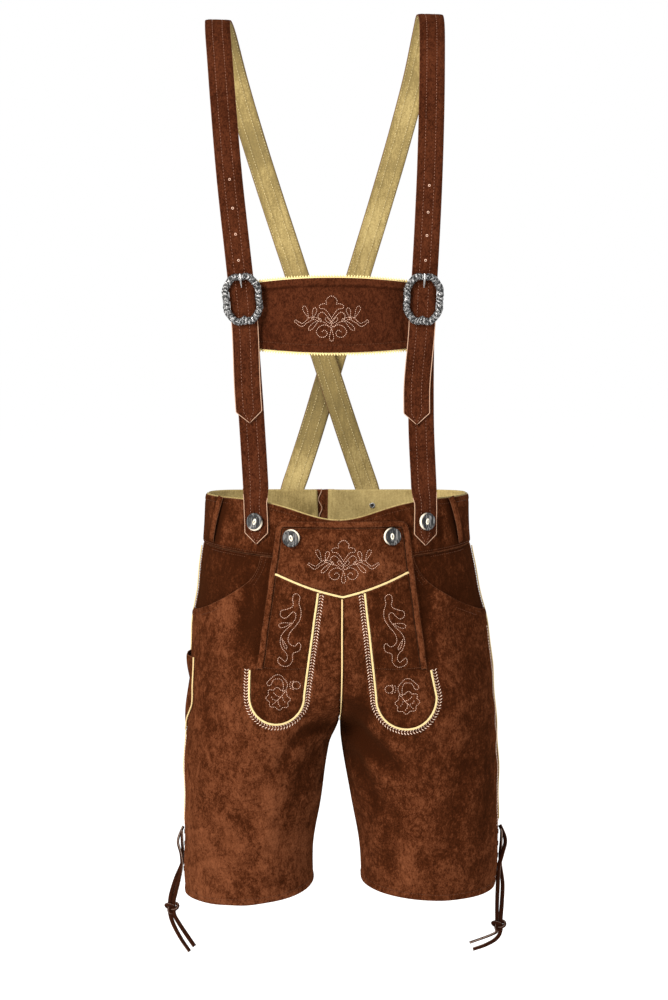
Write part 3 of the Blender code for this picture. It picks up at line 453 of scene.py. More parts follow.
def on_body(half, x, z, lift=0.0):
    """Points of the creased surface at the given X and Z."""
    side, t, z = place_at(x, z)
    return surface(side, half, t, z, lift)


def facing(half, x, z):
    side, t, z = place_at(x, z)
    return normal_at(side, half, t, z)


def angle_of(x, z):
    row = section(z)
    side = np.where(x >= row[..., CENTRE], LEFT, RIGHT)
    outer = np.where(side < 0, row[..., OUT_RIGHT], row[..., OUT_LEFT])
    return side * np.arcsin(np.minimum(np.abs(x - row[..., CENTRE]) / outer, 1))


def on_trunk(half, angle, z, lift=0.0):
    angle, z = np.broadcast_arrays(np.asarray(angle, float), np.asarray(z, float))
    side = np.where(angle >= 0, LEFT, RIGHT)
    t = np.arccos(1 - 2 * np.sin(np.abs(angle))) / np.pi
    return surface(side, half, t, z, lift)


# --- meshes from grids of points ---


def grid_normals(grid):
    down, along = np.gradient(grid, axis=0), np.gradient(grid, axis=1)
    return unit(np.cross(along, down))


def steps(grid, axis):
    return np.linalg.norm(np.diff(grid, axis=axis), axis=2)


def grid_faces(rows, columns, flip):
    index = np.arange(rows * columns).reshape(rows, columns)
    faces = np.stack((index[:-1, :-1], index[:-1, 1:], index[1:, 1:], index[1:, :-1]), -1).reshape(-1, 4)
    return faces[:, ::-1] if flip else faces


def enclosed(data):
    """Six times the volume inside a closed mesh, below 0 where its faces point inwards."""
    data.calc_loop_triangles()
    corners = np.empty(len(data.loop_triangles) * 3, np.int32)
    data.loop_triangles.foreach_get("vertices", corners)
    points = np.empty(len(data.vertices) * 3, np.float32)
    data.vertices.foreach_get("co", points)
    a, b, c = points.reshape(-1, 3)[corners].reshape(-1, 3, 3).transpose(1, 0, 2)
    return np.einsum("ij,ij->i", a, np.cross(b, c)).sum()


def mesh_object(name, points, faces, material, uv=None, attributes=None):
    """A mesh object at the origin. uv and each attribute hold one entry for each point."""
    data = bpy.data.meshes.new(name)
    data.from_pydata(points.tolist(), [], faces)
    data.materials.append(material)
    data.polygons.foreach_set("use_smooth", np.ones(len(data.polygons), bool))
    if enclosed(data) < 0:
        data.flip_normals()
    if uv is not None:
        corners = np.empty(len(data.loops), np.int32)
        data.loops.foreach_get("vertex_index", corners)
        data.uv_layers.new(name="cut").uv.foreach_set("vector", uv[corners].astype(np.float32).ravel())
    for label, values in (attributes or {}).items():
        data.attributes.new(label, "FLOAT", "POINT").data.foreach_set("value", values.astype(np.float32))
    item = bpy.data.objects.new(name, data)
    bpy.context.scene.collection.objects.link(item)
    return item


def cloth(name, grid, wall, material, outward, shade=None):
    """A closed sheet whose outer face is the grid, rounded at its edges. outward tells which way it faces."""
    rows, columns = grid.shape[:2]
    normals = grid_normals(grid)
    flip = np.einsum("ijk,ijk->ij", normals, np.broadcast_to(outward, grid.shape)).mean() < 0
    if flip:
        normals = -normals
    edge = np.zeros((rows, columns))
    edge[0], edge[-1], edge[:, 0], edge[:, -1] = 1, 1, 1, 1
    front = grid - normals * (edge * wall * 0.22)[..., None]
    back = grid - normals * (wall - edge * wall * 0.22)[..., None]
    u = np.pad(steps(grid, 1).cumsum(axis=1), ((0, 0), (1, 0)))
    v = np.pad(steps(grid, 0).cumsum(axis=0), ((1, 0), (0, 0)))
    count = rows * columns
    outer = grid_faces(rows, columns, not flip)
    index = np.arange(count).reshape(rows, columns)
    rim = np.concatenate((index[0, :-1], index[:-1, -1], index[-1, :0:-1], index[:0:-1, 0]))
    after = np.roll(rim, -1)
    walls = np.stack((rim, after, after + count, rim + count), -1)
    if flip:
        walls = walls[:, ::-1]
    faces = np.concatenate((outer, outer[:, ::-1] + count, walls))
    uv = np.tile(np.stack((u, v), -1).reshape(-1, 2), (2, 1))
    edges = np.tile(edge.ravel(), 2)
    tone = np.tile((np.zeros((rows, columns)) if shade is None else shade).ravel(), 2)
    points = np.concatenate((front.reshape(-1, 3), back.reshape(-1, 3)))
    return mesh_object(name, points, faces.tolist(), material, uv, {"edge": edges, "shade": tone})


def frames_along(points, out=None):
    """Tangents, and two directions across a line, without twist or facing the given way."""
    tangents = unit(np.gradient(points, axis=0))
    if out is None:
        side = np.empty_like(points)
        start = np.cross(tangents[0], (0.0, 0.0, 1.0))
        side[0] = unit(start if np.linalg.norm(start) > 0.1 else np.cross(tangents[0], (1.0, 0.0, 0.0)))
        for i in range(1, len(points)):
            side[i] = unit(side[i - 1] - tangents[i] * np.dot(side[i - 1], tangents[i]))
    else:
        side = unit(np.cross(tangents, out))
    return tangents, side, np.cross(side, tangents)


def rod_faces(rings, around):
    """Faces of a rod of rings, closed by two further points in its ends."""
    index = np.arange(rings * around).reshape(rings, around)
    after = np.roll(index, -1, axis=1)
    faces = np.stack((index[:-1], index[1:], after[1:], after[:-1]), -1).reshape(-1, 4).tolist()
    tip, tail = rings * around, rings * around + 1
    faces += [(tip, a, b) for a, b in zip(index[0].tolist(), after[0].tolist())]
    return faces + [(tail, b, a) for a, b in zip(index[-1].tolist(), after[-1].tolist())]


def tube(name, points, radii, material, around=12, out=None, flat=1.0):
    """A round or flattened rod along a line with closed ends. radii is one or one for each point."""
    points = np.asarray(points, float)
    radii = np.broadcast_to(radii, len(points))
    _, side, up = frames_along(points, out)
    turn = np.linspace(0, 2 * np.pi, around, endpoint=False)
    ring = np.cos(turn)[None, :, None] * side[:, None] + np.sin(turn)[None, :, None] * up[:, None] * flat
    grid = points[:, None] + ring * radii[:, None, None]
    count = len(points)
    run = run_along(points)
    uv = np.stack((np.repeat(run, around), np.tile(turn / (2 * np.pi), count)), -1)
    uv = np.concatenate((uv, [[0, 0.5], [run[-1], 0.5]]))
    skin = np.concatenate((grid.reshape(-1, 3), points[[0, -1]]))
    cut = np.concatenate((np.zeros(count * around), [1, 1]))
    return mesh_object(name, skin, rod_faces(count, around), material, uv, {"edge": cut})


# --- materials ---

finishes = {}


class Value:
    """A node's output; sums and products of values add their Math nodes."""

    def __init__(self, tree, output):
        self.tree, self.output = tree, output

    def math(self, operation, first, second):
        return self.tree.node("ShaderNodeMath", {"operation": operation}, {0: first, 1: second})

    def __add__(self, other):
        return self.math("ADD", self, other)

    def __sub__(self, other):
        return self.math("SUBTRACT", self, other)

    def __rsub__(self, other):
        return self.math("SUBTRACT", other, self)

    def __mul__(self, other):
        return self.math("MULTIPLY", self, other)

    def __pow__(self, other):
        return self.math("POWER", self, other)

    __radd__ = __add__
    __rmul__ = __mul__


class Nodes:
    """A node tree that is built by calls; node() takes settings first and then values or links."""

    def put(self, socket, value):
        if isinstance(value, Value):
            self.tree.links.new(value.output, socket)
        else:
            socket.default_value = value

    def node(self, kind, settings=None, inputs=None, output=0):
        made = self.tree.nodes.new(kind)
        for label, setting in (settings or {}).items():
            setattr(made, label, setting)
        for label, value in (inputs or {}).items():
            self.put(made.inputs[label], value)
        return Value(self, made.outputs[output])


class Finish(Nodes):
    """A material with the Principled shader."""

    def __init__(self, name, roughness, **constants):
        self.material = bpy.data.materials.new(name)
        self.material.use_nodes = True
        self.tree = self.material.node_tree
        self.shader = self.tree.nodes["Principled BSDF"]
        self.shader.inputs["Roughness"].default_value = roughness
        for label, value in constants.items():
            self.shader.inputs[label.replace("_", " ")].default_value = value

    def place(self, scale=(1, 1, 1), turn=(0, 0, 0)):
        spot = self.node("ShaderNodeTexCoord", output="Object")
        return self.node("ShaderNodeMapping", inputs={"Vector": spot, "Scale": scale, "Rotation": turn})

    def noise(self, place, scale, detail=2.0, roughness=0.5, distortion=0.0):
        sizes = {
            "Vector": place, "Scale": scale, "Detail": detail, "Roughness": roughness,
            "Distortion": distortion,
        }
        return self.node("ShaderNodeTexNoise", inputs=sizes)

    def cells(self, place, scale):
        return self.node("ShaderNodeTexVoronoi", inputs={"Vector": place, "Scale": scale}, output="Distance")

    def part(self, value, low, high):
        """0 at low and 1 at high, clipped."""
        return self.node("ShaderNodeMapRange", inputs={"Value": value, "From Min": low, "From Max": high})

    def mask(self, name):
        return self.node("ShaderNodeAttribute", {"attribute_name": name}, output="Fac")

    def mix(self, share, first, second):
        return self.node("ShaderNodeMix", {"data_type": "RGBA"}, {0: share, 6: first, 7: second}, output=2)

    def bump(self, height, strength, distance, below=None):
        inputs = {"Height": height, "Strength": strength, "Distance": distance}
        if below is not None:
            inputs["Normal"] = below
        return self.node("ShaderNodeBump", inputs=inputs)

    def finish(self, **channels):
        for label, value in channels.items():
            self.put(self.shader.inputs[label.replace("_", " ")], value)
        return self.material


def rgba(colour):
    return (*colour, 1.0)


def tinted(colour, factor):
    return rgba([channel * factor for channel in colour[:3]])


def suede(name, colour, pale, edge_colour, mottle, nap_scale):
    """Napped split leather: slow clouds, brushed streaks, short fibres, rubbed edges, painted shade in thin
    wrinkles, and the painted shade and light of the shade attribute.
    """
    made = Finish(
        name, 0.95, Sheen_Weight=0.02, Sheen_Roughness=0.6, Sheen_Tint=rgba((0.8, 0.35, 0.16)),
        Specular_IOR_Level=0.0,
    )
    place = made.place()
    brushed = made.place(scale=(1, 1, 0.55), turn=(0, 0.5, 0))
    clouds = made.noise(place, 12, 4, 0.6, 0.9)
    smudges = made.noise(brushed, 42, 5, 0.56, 1.4)
    spots = made.noise(place, 120, 4, 0.6, 0.5)
    streaks = made.noise(made.place(scale=(1, 1, 0.4), turn=(0, 0.8, 0)), 170, 4, 0.75, 0.8)
    folds = made.noise(made.place(scale=(1, 1, 1.7), turn=(0, -0.5, 0)), 24, 3, 0.55, 1.6)
    # painted shade: thin dark wrinkles, which also dent the bump
    wrinkles = 1.0 - made.part((folds - 0.5) ** 2.0, 0.0, 0.0022)
    nap = made.noise(brushed, nap_scale, 4, 0.8)
    fibres = made.noise(brushed, nap_scale * 2.6, 3, 0.75)
    tone = (clouds - 0.5) * 1.05 + (smudges - 0.5) * 2.0 + (spots - 0.5) * 1.5 + (streaks - 0.5) * 1.2
    # the shade attribute brings each piece's painted shade and light, and its own lighter or darker places
    tone = (
        (tone - wrinkles * 0.25 + 0.04) * mottle + (nap - 0.5) * 3.0 + (fibres - 0.5) * 3.2
        + made.mask("shade")
    )
    base = made.mix(made.part(tone, -1.1, 0.2), tinted(colour, 0.42), rgba(colour))
    base = made.mix(made.part(tone, -0.25, 1.25), base, rgba(pale))
    rubbed = made.part(made.mask("edge") + (nap - 0.5) * 0.9, 0.55, 1.0)
    base = made.mix(rubbed * 0.6, base, rgba(edge_colour))
    soft = made.bump(smudges + spots * 0.5 - wrinkles * (0.25 * mottle), 0.55, 2.2 * MM)
    rough = made.bump(nap + fibres * 0.5, 0.7, 0.7 * MM, soft)
    return made.finish(Base_Color=base, Roughness=made.part(nap, -1.2, 1.0) * 0.25 + 0.72, Normal=rough)


def lining(name, colour, pale):
    """Smooth tan lining leather with fine pores, darker in slow clouds and where its shade attribute paints
    shade.
    """
    made = Finish(name, 0.75, Sheen_Weight=0.03, Sheen_Roughness=0.5, Specular_IOR_Level=0.12)
    place = made.place()
    clouds = made.noise(place, 15, 4, 0.62, 0.6)
    ribbed = made.noise(made.place(scale=(1, 1, 0.05)), 420, 3, 0.7, 0.2)
    grain = made.cells(place, 950)
    pores = made.noise(place, 430, 4, 0.8)
    tone = (clouds - 0.5) * 1.3 + (pores - 0.5) * 1.4 + (ribbed - 0.5) * 0.9 + made.mask("shade")
    base = made.mix(made.part(tone, -0.9, 0.1), tinted(colour, 0.45), rgba(colour))
    base = made.mix(made.part(tone, 0.0, 0.8), base, rgba(pale))
    height = made.bump(grain + pores * 0.6, 0.3, 0.3 * MM)
    return made.finish(Base_Color=base, Roughness=made.part(clouds, 0.2, 0.9) * 0.2 + 0.62, Normal=height)


def piping_leather(name, colour):
    """Cream leather rolled over a cord, a little soiled in its pores."""
    made = Finish(name, 0.5, Specular_IOR_Level=0.35)
    place = made.place()
    soil = made.noise(place, 90, 4, 0.65, 0.5)
    pores = made.noise(place, 1100, 2, 0.6)
    base = made.mix(made.part(soil, 0.42, 0.75) * 0.4, rgba(colour), tinted(colour, 0.7))
    base = made.mix(made.part(pores, 0.5, 0.75) * 0.2, base, tinted(colour, 0.6))
    return made.finish(Base_Color=base, Normal=made.bump(pores + soil, 0.25, 0.3 * MM))


def thread(name, colour):
    """Twisted sewing thread."""
    made = Finish(name, 0.6, Specular_IOR_Level=0.1)
    place = made.place()
    ply = made.noise(place, 2600, 1, 0.5)
    age = made.noise(place, 60, 3, 0.6)
    base = made.mix(made.part(age + (ply - 0.5) * 0.7, 0.3, 0.75), tinted(colour, 0.62), rgba(colour))
    return made.finish(Base_Color=base, Normal=made.bump(ply, 0.5, 0.2 * MM))


def antique_silver(name):
    """Cast silver plate, bright on the ridges and blackened in the hollows."""
    made = Finish(name, 0.3)
    place = made.place()
    tone_pattern = made.noise(place, 620, 3, 0.7, 0.8)
    pits = made.noise(place, 1500, 2, 0.6)
    high = made.part(made.mask("high") * 0.8 + (tone_pattern - 0.5) * 2.3 + (pits - 0.5) * 1.0, 0.34, 0.86)
    base = made.mix(high, rgba((0.012, 0.012, 0.012)), rgba((0.60, 0.59, 0.58)))
    return made.finish(
        Base_Color=base,
        Metallic=made.part(high, 0.0, 0.6) * 0.35 + 0.65,
        Roughness=0.6 - high * 0.3 + (pits - 0.5) * 0.12,
        Normal=made.bump(tone_pattern + pits * 0.5, 0.8, 0.9 * MM),
    )


def horn(name, dark, pale):
    """Polished horn: fine upright streaks, paler in a crescent round one side of the rim."""
    made = Finish(name, 0.5, Coat_Weight=0.04, Coat_Roughness=0.3, Specular_IOR_Level=0.3)
    streaked = made.place(scale=(1, 1, 0.06))
    fine = made.noise(streaked, 1500, 3, 0.7, 0.3)
    broad = made.noise(streaked, 520, 3, 0.6, 0.4)
    tone = (fine - 0.5) * 1.0 + (broad - 0.5) * 3.4
    base = made.mix(made.part(tone, 0.02, 0.5), rgba(dark), rgba(pale))
    base = made.mix(made.part(made.mask("high"), 0.3, 0.8), base, rgba((0.72, 0.64, 0.5)))
    worn = made.part(fine, 0.2, 0.8) * 0.2 + 0.4
    return made.finish(Base_Color=base, Roughness=worn, Normal=made.bump(broad, 0.4, 0.35 * MM))


def antler(name, colour):
    """Ivory antler core with a faint brown grain."""
    made = Finish(name, 0.35, Coat_Weight=0.3, Coat_Roughness=0.15)
    place = made.place(scale=(1, 1, 0.4))
    grain = made.noise(place, 900, 3, 0.7, 0.4)
    base = made.mix(made.part(grain, 0.52, 0.8) * 0.55, rgba(colour), rgba((0.42, 0.3, 0.17)))
    base = made.mix(made.part(made.mask("edge"), 0.2, 1.0) * 0.6, base, rgba((0.2, 0.13, 0.08)))
    return made.finish(Base_Color=base, Normal=made.bump(grain, 0.2, 0.2 * MM))


def shadow_gap(name):
    """Painted shadow: the dark inside of a slit or a hole."""
    made = Finish(name, 0.95)
    dust = made.noise(made.place(), 900, 2, 0.6)
    return made.finish(Base_Color=made.mix(dust, rgba((0.006, 0.004, 0.003)), rgba((0.02, 0.012, 0.008))))


# --- what repeats along a line ---


class Repeat(Nodes):
    """A geometry tree that sets small copies along lines, which carry how they face and run."""

    def __init__(self, name, angles=(), **lengths):
        self.tree = bpy.data.node_groups.new(name, "GeometryNodeTree")
        face = self.tree.interface
        face.new_socket("Lines", in_out="INPUT", socket_type="NodeSocketGeometry")
        sizes = [(label, value * MM, "DISTANCE") for label, value in lengths.items()]
        for label, value, subtype in sizes + [(*angle, "ANGLE") for angle in angles]:
            socket = face.new_socket(label, in_out="INPUT", socket_type="NodeSocketFloat")
            socket.subtype, socket.default_value = subtype, value
        face.new_socket("Material", in_out="INPUT", socket_type="NodeSocketMaterial")
        face.new_socket("Copies", in_out="OUTPUT", socket_type="NodeSocketGeometry")
        self.inlet = self.tree.nodes.new("NodeGroupInput")

    def size(self, label):
        return Value(self, self.inlet.outputs[label])

    def triple(self, x, y, z):
        return self.node("ShaderNodeCombineXYZ", inputs={"X": x, "Y": y, "Z": z})

    def moved(self, shape, shift=None, scale=None, turn=None):
        inputs = {"Geometry": shape}
        for label, value in (("Translation", shift), ("Scale", scale), ("Rotation", turn)):
            if value is not None:
                inputs[label] = value
        return self.node("GeometryNodeTransform", inputs=inputs)

    def bead(self, length, thick):
        """A smooth grain, long in X."""
        ball = self.node("GeometryNodeMeshUVSphere", inputs={"Segments": 5, "Rings": 3, "Radius": 1.0})
        return self.moved(ball, scale=self.triple(length * 0.5, thick * 0.5, thick * 0.5))

    def join(self, *shapes):
        made = self.tree.nodes.new("GeometryNodeJoinGeometry")
        for shape in reversed(shapes):
            self.tree.links.new(shape.output, made.inputs[0])
        return Value(self, made.outputs[0])

    def along(self, shape, spacing, sway=0.0):
        """Copies of the shape every spacing, X along the line and Z the way that it faces."""
        line = self.node("GeometryNodeMeshToCurve", inputs={"Mesh": self.size("Lines")})
        line = self.node("GeometryNodeResampleCurve", {"mode": "LENGTH"}, {"Curve": line, "Length": spacing})
        out = self.node("GeometryNodeInputNamedAttribute", {"data_type": "FLOAT_VECTOR"}, {"Name": "out"})
        run = self.node("GeometryNodeInputNamedAttribute", {"data_type": "FLOAT_VECTOR"}, {"Name": "run"})
        up = self.node("FunctionNodeAlignRotationToVector", {"axis": "Z"}, {"Vector": out})
        settings = {"axis": "X", "pivot_axis": "Z"}
        turn = self.node("FunctionNodeAlignRotationToVector", settings, {"Rotation": up, "Vector": run})
        size = self.node(
            "FunctionNodeRandomValue", inputs={2: 1.0 - sway, 3: 1.0 + sway, "Seed": 7}, output=1
        )
        inputs = {"Points": line, "Instance": shape, "Rotation": turn, "Scale": size}
        copies = self.node("GeometryNodeInstanceOnPoints", inputs=inputs)
        return self.node("GeometryNodeRealizeInstances", inputs={"Geometry": copies})

    def end(self, shape):
        smooth = self.node("GeometryNodeSetShadeSmooth", inputs={"Geometry": shape})
        painted = self.node(
            "GeometryNodeSetMaterial", inputs={"Geometry": smooth, "Material": self.size("Material")}
        )
        outlet = self.tree.nodes.new("NodeGroupOutput")
        self.tree.links.new(painted.output, outlet.inputs[0])
        return self.tree


def running_stitch_tree():
    """Plain dashes of thread."""
    made = Repeat("Running stitch", Spacing=3.4, Stitch=2.7, Thread=0.75)
    stitch = made.bead(made.size("Stitch"), made.size("Thread"))
    return made.end(made.along(stitch, made.size("Spacing"), 0.08))


def feather_stitch_tree():
    """Two slanted threads to each step, which meet on the line like the barbs of a feather."""
    made = Repeat("Feather stitch", [("Slant", 0.9)], Spacing=2.9, Reach=3.0, Thread=0.7)
    reach, slant = made.size("Reach"), made.size("Slant")
    arms = []
    for sign in (1.0, -1.0):
        barb = made.bead(reach * 1.15, made.size("Thread"))
        shift, turn = made.triple(0.0, reach * (0.46 * sign), 0.0), made.triple(0.0, 0.0, slant * sign)
        arms.append(made.moved(barb, shift=shift, turn=turn))
    return made.end(made.along(made.join(*arms), made.size("Spacing"), 0.05))


def pinking_tree():
    """Saw teeth of flat leather that point sideways from the line."""
    made = Repeat("Pinked edge", Spacing=3.5, Depth=2.6, Leather=0.9)
    spacing, depth = made.size("Spacing"), made.size("Depth")
    prism = made.node(
        "GeometryNodeMeshCylinder", inputs={"Vertices": 3, "Side Segments": 1, "Radius": 1.0, "Depth": 1.0}
    )
    upright = made.moved(prism, turn=(0.0, 0.0, np.pi / 2))
    tooth = made.moved(upright, scale=made.triple(spacing * 0.6, depth * 0.8, made.size("Leather")))
    return made.end(made.along(tooth, spacing, 0.06))


def eyelet_tree():
    """Small round rims."""
    made = Repeat("Eyelet", Spacing=20, Radius=1.6, Rim=0.5)
    path = made.node(
        "GeometryNodeCurvePrimitiveCircle", inputs={"Resolution": 16, "Radius": made.size("Radius")}
    )
    profile = made.node(
        "GeometryNodeCurvePrimitiveCircle", inputs={"Resolution": 6, "Radius": made.size("Rim")}
    )
    ring = made.node("GeometryNodeCurveToMesh", inputs={"Curve": path, "Profile Curve": profile})
    return made.end(made.along(ring, made.size("Spacing")))


def repeated(name, tree, lines, material, sizes):
    """The tree's copies along lines, each a pair of points and outward directions, as one plain mesh."""
    points = np.concatenate([line[0] for line in lines])
    outs = np.concatenate([line[1] for line in lines])
    edges, start = [], 0
    for line in lines:
        edges += [(start + i, start + i + 1) for i in range(len(line[0]) - 1)]
        start += len(line[0])
    data = bpy.data.meshes.new(name + "_lines")
    data.from_pydata(points.tolist(), edges, [])
    runs = np.concatenate([np.gradient(line[0], axis=0) for line in lines])
    for label, vectors in (("out", outs), ("run", runs)):
        attribute = data.attributes.new(label, "FLOAT_VECTOR", "POINT")
        attribute.data.foreach_set("vector", unit(vectors).astype(np.float32).ravel())
    guide = bpy.data.objects.new(name + "_lines", data)
    bpy.context.scene.collection.objects.link(guide)
    worked = guide.modifiers.new("Copies", "NODES")
    worked.node_group = tree
    labels = {item.name: item.identifier for item in tree.interface.items_tree if item.in_out == "INPUT"}
    for label, value in sizes.items():
        worked[labels[label]] = value
    worked[labels["Material"]] = material
    bpy.context.view_layer.update()
    graph = bpy.context.evaluated_depsgraph_get()
    made = bpy.data.meshes.new_from_object(guide.evaluated_get(graph))
    bpy.data.objects.remove(guide)
    made.name = name
    item = bpy.data.objects.new(name, made)
    bpy.context.scene.collection.objects.link(item)
    return item


# --- trousers ---


def fit(piece, slot, *nodes):
    """The piece moves with the part and stands for the nodes. slot is not used."""
    if nodes:
        piece.name = nodes[0] + "_look"
    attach(piece, "root")
    if nodes:
        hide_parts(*nodes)
    return piece


def sew(node, grid, wall, key, outward, shade, slot=None):
    """A sheet in place of the node."""
    piece = cloth(node, grid, wall, finishes[key], outward, shade)
    diagonals = np.cross(grid[1:, 1:] - grid[:-1, :-1], grid[1:, :-1] - grid[:-1, 1:])
    fit(piece, slot or key, node)


def hem_height(side, t, z):
    inner, middle, outer = HEM_LINE[side]
    share = np.clip((HEM_BLENDS_FROM - z) / (HEM_BLENDS_FROM - HEM), 0, 1)
    sweep = (1 - t) * (1 - 2 * t) * inner + 4 * t * (1 - t) * middle + t * (2 * t - 1) * outer
    return z + sweep * share * share


def seam_height(half, x, z):
    share = np.clip((z - SEAM_BLENDS_FROM) / (WAIST_SEAM - SEAM_BLENDS_FROM), 0, 1)
    return z + (waist_seam(half, x) - SEAM / 2 - WAIST_SEAM) * share * share


def settled_height(side, half, t, z):
    x = body(side, half, t, z)[..., 0]
    return hem_height(side, t, seam_height(half, x, z))


def mouth_start(side):
    """Where the pocket mouth leaves the waist seam, as t."""
    seam = body(side, FRONT, 1.0, WAIST_SEAM)[0]
    return t_at(side, seam - side * POCKET_WIDTH, WAIST_SEAM)


def mouth(side, angle, inset=0.0):
    """t and height along the pocket mouth, from the waist seam to the side seam, moved into the panel."""
    start = mouth_start(side)
    wide, deep = 1 - start + inset / GIRTH_TO_T, POCKET_DEPTH + inset
    return 1 - wide * np.cos(angle), WAIST_SEAM - deep * np.sin(angle)


# Places of painted shade and light, and where the nap lies darker or lighter: X, Z, reach in X, reach in Z
# and how much
SHADE_AND_NAP = {
    FRONT: (
        # painted shade in the crotch and along its drag lines
        (26, -896, 16, 34, -0.75), (44, -920, 26, 20, -0.45), (-16, -905, 16, 22, -0.25),
        (14, -868, 9, 26, -0.2), (18, -925, 12, 36, -1.1), (56, -942, 20, 9, -0.6),
        (30, -960, 10, 46, -0.35), (47, -1010, 6, 34, -0.5), (-34, -912, 20, 6, -0.5),
        (-62, -938, 8, 18, -0.4), (34, -880, 10, 12, -0.5), (160, -965, 12, 70, -0.3),
        # round the pockets
        (-176, -740, 26, 44, -0.35), (-120, -712, 20, 22, -0.2), (-150, -765, 26, 12, 0.2),
        (150, -735, 22, 34, -0.2), (128, -800, 18, 50, -0.25), (170, -800, 18, 60, -0.2),
        (-136, -842, 16, 34, -0.2),
        # lighter on the right thigh and down the leg, partly brushed nap and partly painted light
        (-150, -885, 34, 20, 0.22), (-100, -905, 40, 18, 0.26), (-118, -985, 40, 26, 0.16),
        (-64, -960, 18, 40, -0.16), (-160, -1010, 20, 26, -0.16), (-96, -1070, 40, 22, 0.2),
        (-170, -1100, 20, 26, 0.14), (-70, -1098, 16, 26, -0.12),
        # the left leg, darker, partly painted shade, with a light middle
        (120, -905, 34, 14, 0.25), (112, -985, 34, 26, 0.1), (188, -985, 16, 80, -0.5),
        (80, -1060, 16, 40, 0.12), (130, -1040, 30, 22, -0.14), (140, -1105, 34, 16, 0.16),
        (70, -990, 14, 30, -0.25),
    ),
    BACK: (
        (0, -915, 40, 26, -0.6), (-70, -935, 40, 16, -0.3), (72, -932, 40, 16, -0.3),
        (-90, -800, 44, 50, 0.2), (96, -806, 44, 50, 0.16), (-104, -985, 40, 30, 0.14),
        (110, -1010, 36, 30, -0.12), (-120, -1080, 40, 22, -0.14), (104, -1090, 40, 20, 0.16),
        (-60, -720, 30, 20, -0.16), (64, -716, 30, 20, -0.2),
    ),
}


def tone_of(half, points):
    """Lighter and darker places: painted shade in troughs and painted light on ridges, the listed places of
    painted shade, light and nap, painted shade beside the slits, and the way each piece was brushed.
    """
    x, z = points[..., 0], points[..., 2]
    # painted shade in the creases' troughs and painted light on their ridges
    tone = np.clip(relief(half, points) / (6 * MM), -0.6, 0.4)
    low = ease((-0.88 - z) / 0.22)
    for middle_x, middle_z, reach_x, reach_z, much in MM * np.array(SHADE_AND_NAP[half], float):
        away = ((x - middle_x) / reach_x) ** 2 + ((z - middle_z) / reach_z) ** 2
        tone = tone + much / MM * np.exp(-away)
    if half == FRONT:
        # painted light on the right leg and painted shade on the left, partly the nap's own tone; both
        # lighter towards the hems
        tone += np.where(x < 0, 0.06 + 0.2 * low, -0.2 + 0.16 * low)
        # painted shade beside the flap's slits, where the panel sinks below the binding
        beside = flap_edge(RIGHT, z) - BINDING - 7 * MM - x
        deep = ease((-0.675 - z) / 0.02) * ease((z - FLAP_FOOT) / 0.03)
        tone -= 0.95 * groove(beside, 0.010) * deep
        tone -= 0.35 * groove(beside - 0.016, 0.012) * deep
        tone -= 0.5 * groove(x - flap_edge(LEFT, z) - BINDING - 5 * MM, 0.008) * deep
    else:
        tone += 0.06 * low
    return tone


PANEL_COLUMNS = 84


def panel_grid(side, half):
    """Rows of points down a panel. A front panel's upper rows end at the pocket mouth."""
    pocket = WAIST_SEAM - POCKET_DEPTH * np.sin(spread(0, np.pi / 2, 34))
    rise = spread(pocket[-1], CROTCH, 54)[1:]
    leg = spread(CROTCH, HEM, 80)[1:]
    z = np.concatenate((pocket, rise, leg))[:, None]
    ends = np.ones_like(z)
    if half == FRONT:
        ends[: len(pocket), 0] = mouth(side, spread(0, np.pi / 2, 34))[0]
    share = np.linspace(0, 1, PANEL_COLUMNS + 1)[None]
    t = share * ends
    z = np.broadcast_to(z, t.shape)
    height = settled_height(side, half, t, z)
    gape = np.zeros_like(t)
    if half == FRONT:
        deep = np.clip((WAIST_SEAM - z) / POCKET_DEPTH, 0, 1.2)
        gape = 3.2 * MM * groove(ends - t, 0.05) * groove(deep - 0.8, 0.22) * (deep < 1)
        gape += 2.6 * MM * groove(t - 0.93, 0.07) * groove(deep - 1.04, 0.06) * (deep >= 1)
    hem_line = settled_height(side, half, t, np.full_like(t, HEM))
    turned = 0.7 * MM * ease((9 * MM - (height - hem_line)) / (3 * MM))
    stitched = -0.8 * MM * groove(height - hem_line - HEM_ROW, 1.5 * MM)
    return surface(side, half, t, height, gape + turned + stitched)


def make_panels():
    for half_name, half in HALVES.items():
        for side_name, side in SIDES.items():
            grid = panel_grid(side, half)
            name = f"{half_name}_panel_{side_name}"
            sew(
                name, grid, SUEDE, "suede", (0, half, 0), tone_of(half, grid),
            )


def make_facings():
    for side_name, side in SIDES.items():
        start = mouth_start(side) - FACING_MARGIN / GIRTH_TO_T
        z = spread(WAIST_SEAM - SEAM, WAIST_SEAM - POCKET_DEPTH - FACING_MARGIN, 40)[:, None]
        t, z = np.broadcast_arrays(np.linspace(start, 1, 41)[None], z)
        height = settled_height(side, FRONT, t, z)
        grid = surface(side, FRONT, t, height, -(SUEDE + 2 * LAY))
        grid[:, -1, 1] = np.minimum(grid[:, -1, 1], -SEAM / 2)
        name = f"pocket_facing_{side_name}"
        shade = (
            -0.95 - 0.9 * ease((t - 0.78) / 0.2) * ease((-0.72 - z) / 0.03)
            + 0.5 * groove(z + 0.70, 0.012) * groove(t - 0.8, 0.06)
        )
        sew(name, grid, LINING, "suede", (0, FRONT, 0), shade)


def notch_x(side, z):
    top, foot = NOTCH[side]
    return top + (foot - top) * (z - WAIST_TOP) / (WAIST_SEAM - WAIST_TOP)


